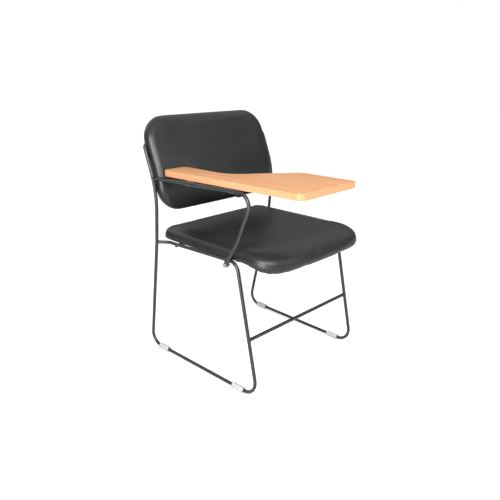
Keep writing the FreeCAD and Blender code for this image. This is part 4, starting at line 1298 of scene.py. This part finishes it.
@dataclass
class SledFrame(Assembly):
    """The two bent sides, their cross rods, the glides and the welds.

    Each cross rod is named and given by its place along the chair and its height.
    """

    foot_front: Vector = spot(0.2385, -0.1895, 0.009)
    upright_seat: Vector = spot(0.2655, 0.2405, 0.41)
    foot_rear: Vector = spot(0.25, 0.3305, 0.009)
    stretcher_z: float = 0.187
    cross_rods: tuple[tuple[str, float, float], ...] = (("front", -0.0565, 0.416), ("rear", 0.1705, 0.4065))
    cross_drop_share: float = 0.8
    bead_r: float = 1.3 * MM
    solids = Solids(
        {
            Slot.ROD: (
                "right_side_frame",
                "left_side_frame",
                "front_stretcher",
                "seat_front_cross_rod",
                "seat_rear_cross_rod",
            ),
            Slot.GLIDE: ("glide_front_right", "glide_front_left", "glide_rear_right", "glide_rear_left"),
        }
    )

    def build(self) -> None:
        """Run a bead round each welded rod end, on both sides."""
        out = Vector((1.0, 0.0, 0.0))
        leg, rail = (RAIL_FRONT - self.foot_front).normalized(), (RAIL_REAR - RAIL_FRONT).normalized()
        share = (self.stretcher_z - self.foot_front.z) / (RAIL_FRONT.z - self.foot_front.z)
        lines = {"stretcher": saddle(self.foot_front.lerp(RAIL_FRONT, share), leg, out)}
        for word, y, z in self.cross_rods:
            place = RAIL_FRONT.lerp(RAIL_REAR, (y - RAIL_FRONT.y) / (RAIL_REAR.y - RAIL_FRONT.y))
            drop = UP * (z - place.z) * self.cross_drop_share
            lines[f"{word}_cross_rod"] = [point + drop for point in saddle(place, rail, out)]
        jog = (self.upright_seat - RAIL_REAR).normalized()
        down = (self.foot_rear - self.upright_seat).normalized()
        lines["rail_end"] = saddle(self.upright_seat, down, jog)
        for side, word in ((-1.0, "right"), (1.0, "left")):
            flip = Matrix.Scale(side, 4, out)
            for name, line in lines.items():
                self.weld(f"weld_{name}_{word}", [flip @ point for point in line], self.bead_r, True)


@dataclass
class SeatAssembly(Assembly):
    """The padded seat, its board, its hem and its fixing.

    The waves of the hem's edge and of its sag are given by their turn for each step, the turn they
    start at and their height, which is in millimetres for the edge and a share for the sag.
    """

    board_z: float = 421.8 * MM
    board_half: float = 204.0 * MM
    board_front: float = -134.5 * MM
    board_rear: float = 235.5 * MM
    board_corner: float = 30.0 * MM
    corner_steps: int = 8
    hem_out: float = 12.0 * MM
    hem_in: float = 16.0 * MM
    hem_t: float = 0.5 * MM
    hem_steps: int = 240
    edge_waves: tuple[tuple[float, float, float], ...] = ((0.9, 0.0, 0.7), (0.37, 1.0, 1.1))
    sag_wave: tuple[float, float, float] = (0.7, 0.0, 0.4)
    staple_inset: float = 9.0 * MM
    staple_step: float = 24.0 * MM
    staple_r: float = 0.45 * MM
    staple_half: float = 5.0 * MM
    staple_sides: int = 6
    solids = Solids(
        {
            Slot.PLY: ("seat_board",),
            Slot.ROD: ("seat_screw_plates",),
            Slot.ZINC: ("seat_tee_nuts", "seat_screws"),
            Slot.PAD: ("seat_cushion",),
        }
    )

    def build(self) -> None:
        """Make the pad, the hem that is turned under it and the staples through the hem."""
        carriers = ("seat_board", "right_side_frame", "left_side_frame")
        pad = SeatPad("seat_pad", "seat_cushion", carriers, 5.0 * MM, 4.0, 0.85, rounding=12)
        skin = pad.build(self.frame["nodes"])
        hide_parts("seat_cushion")
        self.add(skin, Slot.PAD, Body.FRAME)
        self.add(self.hem(), Slot.PAD, Body.FRAME)
        self.add(self.staples(), Slot.ZINC, Body.FRAME)

    def outline(self, inset: float) -> list[Vector]:
        """Points round the board's underside, at an even distance inside its edge."""
        sizes = (self.board_half, self.board_front, self.board_rear, self.board_corner)
        return [Vector((x, y, self.board_z)) for x, y in corner_arcs(*sizes, inset, self.corner_steps)]

    def hem(self) -> bpy.types.Object:
        """The leatherette's turned edge, a thin strip with a wavy inner side.

        Returns:
            The strip's object.
        """
        outer = resampled(self.outline(-self.hem_out), self.hem_steps)
        inner = resampled(self.outline(self.hem_in), self.hem_steps)
        sag_turn, sag_start, sag_share = self.sag_wave
        points = []
        for number, (far, near) in enumerate(zip(outer, inner)):
            wave = sum(math.sin(number * turn + start) * height for turn, start, height in self.edge_waves)
            edge = near + (near - far).normalized() * wave * MM
            sag = UP * -self.hem_t * (1.0 + sag_share * math.sin(number * sag_turn + sag_start))
            points += [edge, edge + sag * 0.9, far.lerp(edge, 0.5) + sag, far + sag * 0.6, far]
        sides = len(points) // self.hem_steps
        return linked("seat_hem", smooth_mesh("seat_hem", points, tube_faces(self.hem_steps, sides, True)))

    def staples(self) -> bpy.types.Object:
        """Wire staples that hold the hem, all in one piece.

        Returns:
            The staples' object.
        """
        line = self.outline(self.staple_inset)
        length = sum((b - a).length for a, b in zip(line, line[1:] + line[:1]))
        places = resampled(line, int(length / self.staple_step))
        points, faces = [], []
        for number, place in enumerate(places):
            along = (places[(number + 1) % len(places)] - places[number - 1]).normalized()
            side = along.cross(UP)
            level = place - UP * self.hem_t * 1.5
            faces += tube_faces(2, self.staple_sides, False, len(points))
            for end in (level - along * self.staple_half, level + along * self.staple_half):
                for turn in range(self.staple_sides):
                    angle = math.tau * turn / self.staple_sides
                    points.append(end + (side * math.cos(angle) + UP * math.sin(angle)) * self.staple_r)
        return linked("seat_staples", smooth_mesh("seat_staples", points, faces))


@dataclass
class BackAssembly(Assembly):
    """The padded back, its board, rear panel and fixing."""

    solids = Solids(
        {
            Slot.PLY: ("back_board",),
            Slot.PAD: ("back_cover", "back_cushion"),
            Slot.ROD: ("back_screw_plates",),
            Slot.ZINC: ("back_tee_nuts", "back_screws"),
        }
    )

    def build(self) -> None:
        """Make the pad."""
        carriers, clear_of = ("back_board", "back_cover"), ("tablet_edge_band",)
        pad = BackPad("back_pad", "back_cushion", carriers, 2.5 * MM, 3.0, 0.85, clear_of, slide=0.1)
        skin = pad.build(self.frame["nodes"])
        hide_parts("back_cushion")
        self.add(skin, Slot.PAD, Body.FRAME)

    def dress(self) -> None:
        """Dress the solids, and let the wide rear panel shade as evenly as its wide faces are."""
        super().dress()
        level = self.frame["nodes"]["back_cover"].modifiers.new("level", "WEIGHTED_NORMAL")
        level.mode = "FACE_AREA"
        level.weight = 90
        level.keep_sharp = True


@dataclass
class ArmAssembly(Assembly):
    """The arm rod, its bolted end, and the collars and stops of the hinge."""

    axis_front: Vector = spot(-0.223, -0.1635, 0.6197)
    axis_rear: Vector = spot(-0.262, 0.2085, 0.6197)
    upright: Vector = spot(-0.2668, 0.2363, 0.6197)
    upright_bead_r: float = 1.3 * MM
    bar_y: tuple[float, ...] = (-0.0385, 0.1155)
    bar_half_w: float = 8.0 * MM
    bar_half_t: float = 2.5 * MM
    bar_bead_r: float = 1.1 * MM
    bead_stand: float = 0.3 * MM
    bead_step: float = 0.45 * MM
    solids = Solids(
        {
            Slot.ROD: ("arm_rod", "arm_lug", "hinge_collars", "tablet_stop_bars", "tablet_open_stop"),
            Slot.ZINC: ("arm_bolt", "arm_washer", "arm_nut"),
            Slot.RUBBER: ("tablet_bumpers",),
        }
    )

    def build(self) -> None:
        """Weld the stop bars and the rod's rear end."""
        along = (self.axis_rear - self.axis_front).normalized()
        inner = along.cross(UP)
        reach = math.sqrt(ROD_R**2 - self.bar_half_t**2) + self.bead_stand
        steps = int(2 * self.bar_half_w / self.bead_step)
        for number, y in enumerate(self.bar_y, start=1):
            share = (y - self.axis_front.y) / (self.axis_rear.y - self.axis_front.y)
            middle = self.axis_front.lerp(self.axis_rear, share) + inner * reach
            for word, rise in (("upper", self.bar_half_t), ("lower", -self.bar_half_t)):
                start = middle + UP * rise - along * self.bar_half_w
                line = [start + along * (2 * self.bar_half_w * step / steps) for step in range(steps + 1)]
                self.weld(f"weld_stop_bar_{number}_{word}", line, self.bar_bead_r, False)
        rise = Vector((0.0, math.tan(BACK_LEAN), 1.0)).normalized()
        self.weld("weld_arm_rear", saddle(self.upright, rise, along), self.upright_bead_r, True)


@dataclass
class TabletAssembly(Assembly):
    """The writing tablet with its hinge eyes and screws."""

    solids = Solids(
        {
            Slot.CORE: ("tablet_board",),
            Slot.FACE: ("tablet_laminate",),
            Slot.EDGE: ("tablet_edge_band",),
            Slot.ROD: ("hinge_eye_front", "hinge_eye_rear"),
            Slot.ZINC: ("hinge_screws",),
        }
    )


# Studio


@dataclass
class Lamp:
    """A soft square lamp that points at the chair, or one that only gloss shows."""

    name: str
    place: Vector
    size: float
    power: float
    gloss_only: bool = False
    target: Vector = spot(0.0, 0.0, 0.45)

    def build(self) -> None:
        """Put the lamp in the scene."""
        data = bpy.data.lights.new(self.name, "AREA")
        data.shape = "SQUARE"
        data.size = self.size
        data.energy = self.power
        lamp = bpy.data.objects.new(self.name, data)
        lamp.location = self.place
        lamp.rotation_euler = (self.target - self.place).to_track_quat("-Z", "Y").to_euler()
        lamp.visible_diffuse = not self.gloss_only
        bpy.context.scene.collection.objects.link(lamp)


@dataclass
class Studio:
    """Floor, world, lamps and camera."""

    camera_place: Vector = spot(-1.1925, -1.1246, 0.9243)
    yaw: float = math.radians(-44.98)
    pitch: float = math.radians(-18.61)
    roll: float = math.radians(-0.41)
    focal_share: float = 521.55 / 500.0
    sensor: float = 36.0
    shift: tuple[float, float] = (-0.00366, 0.00052)
    near_far: tuple[float, float] = (0.05, 100.0)
    floor_half: float = 14.0
    floor_gap: float = 0.4 * MM
    floor_white: Colour = (0.9, 0.9, 0.9)
    floor_glow: float = 0.5
    backdrop_in_gloss: float = 0.07
    horizon: float = 0.12
    horizon_top: float = 0.2
    zenith: float = 0.8
    zenith_foot: float = 0.75

    def build(self) -> None:
        """Set up everything round the chair."""
        self.floor()
        self.world()
        for lamp in (
            Lamp("key_left", Vector((-1.72, -0.72, 1.6)), 0.75, 28.0),
            Lamp("key_front", Vector((-1.16, -1.5, 1.65)), 0.8, 19.0),
            Lamp("window", Vector((-2.25, -0.8, 0.68)), 1.3, 48.0, gloss_only=True),
            Lamp("overhead", Vector((-0.5, -1.2, 2.2)), 1.2, 4.0),
            Lamp("fill", Vector((0.9, -2.1, 1.2)), 1.4, 8.0),
            Lamp("rim", Vector((-0.6, 2.0, 1.7)), 1.4, 4.0),
        ):
            lamp.build()
        self.camera()
        bpy.context.scene.view_settings.view_transform = "Standard"

    def floor(self) -> None:
        """A wide pale floor that shows white and keeps a soft shadow."""
        reach = self.floor_half
        sides = ((-reach, -reach), (reach, -reach), (reach, reach), (-reach, reach))
        corners = [Vector((x, y, -self.floor_gap)) for x, y in sides]
        floor = linked("floor", smooth_mesh("floor", corners, [(0, 1, 2, 3)]))
        made = bpy.data.materials.new("pale_floor")
        made.use_nodes = True
        made.node_tree.nodes.clear()
        graph = Graph(made.node_tree)
        paint = graph.node("ShaderNodeBsdfDiffuse", in_Color=self.floor_white)
        light = graph.math("MULTIPLY", self.seen(graph), self.floor_glow)
        glow = graph.node("ShaderNodeEmission", in_Color=(1.0, 1.0, 1.0), in_Strength=light)
        both = graph.node("ShaderNodeAddShader")
        for socket, shader in zip(both.inputs, (paint, glow)):
            graph.feed(socket, shader.outputs[0])
        graph.node("ShaderNodeOutputMaterial", in_Surface=both.outputs[0])
        floor.data.materials.append(made)

    def seen(self, graph: Graph) -> bpy.types.NodeSocket:
        """How strongly the white backdrop shows: fully to the camera and through glass, less in gloss."""
        path = graph.node("ShaderNodeLightPath").outputs
        shown = graph.math("MAXIMUM", path["Is Camera Ray"], path["Is Transmission Ray"])
        gloss = graph.math("MULTIPLY", path["Is Glossy Ray"], self.backdrop_in_gloss)
        return graph.math("MAXIMUM", shown, gloss)

    def world(self) -> None:
        """A surround that is white where it is seen, and lights from above more than from the sides."""
        world = bpy.data.worlds.new("surround")
        bpy.context.scene.world = world
        world.use_nodes = True
        graph = Graph(world.node_tree)
        back = world.node_tree.nodes["Background"]
        graph.feed(back.inputs["Color"], (1.0, 1.0, 1.0))
        place = graph.node("ShaderNodeTexCoord").outputs["Generated"]
        height = graph.node("ShaderNodeSeparateXYZ", in_Vector=place).outputs["Z"]
        dome = graph.node("ShaderNodeMapRange", interpolation_type="SMOOTHSTEP", in_Value=height)
        bounds = (self.horizon_top, self.zenith_foot, self.horizon, self.zenith)
        for name, value in zip(("From Min", "From Max", "To Min", "To Max"), bounds):
            graph.feed(dome.inputs[name], value)
        seen = self.seen(graph)
        lit = graph.math("MULTIPLY", graph.math("SUBTRACT", 1.0, seen), dome.outputs["Result"])
        graph.feed(back.inputs["Strength"], graph.math("ADD", seen, lit))

    def camera(self) -> None:
        """The photograph's camera."""
        level = math.cos(self.pitch)
        ahead = Vector((-math.sin(self.yaw) * level, math.cos(self.yaw) * level, math.sin(self.pitch)))
        right = ahead.cross(UP).normalized()
        up = right.cross(ahead)
        turned_right = right * math.cos(self.roll) + up * math.sin(self.roll)
        turned_up = up * math.cos(self.roll) - right * math.sin(self.roll)
        turn = Matrix((turned_right, turned_up, -ahead)).transposed()
        data = bpy.data.cameras.new("camera")
        data.sensor_width = self.sensor
        data.lens = self.focal_share * self.sensor
        data.shift_x, data.shift_y = self.shift
        data.clip_start, data.clip_end = self.near_far
        camera = bpy.data.objects.new("camera", data)
        camera.matrix_world = Matrix.Translation(self.camera_place) @ turn.to_4x4()
        bpy.context.scene.collection.objects.link(camera)
        bpy.context.scene.camera = camera


BUILDERS: tuple[type[Assembly], ...] = (SledFrame, SeatAssembly, BackAssembly, ArmAssembly, TabletAssembly)


def main() -> None:
    """Load the frame, build and dress each assembly, and set up the studio."""
    logging.basicConfig(level=logging.INFO, format="%(name)s: %(message)s")
    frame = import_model()
    wardrobe = Wardrobe(Effects())
    for builder in BUILDERS:
        assembly = builder(frame, wardrobe)
        assembly.build()
        assembly.dress()
        LOG.info("%s has %d added pieces", builder.__name__, len(assembly.added))
    Studio().build()
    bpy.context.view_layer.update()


if __name__ == "__main__":
    main()
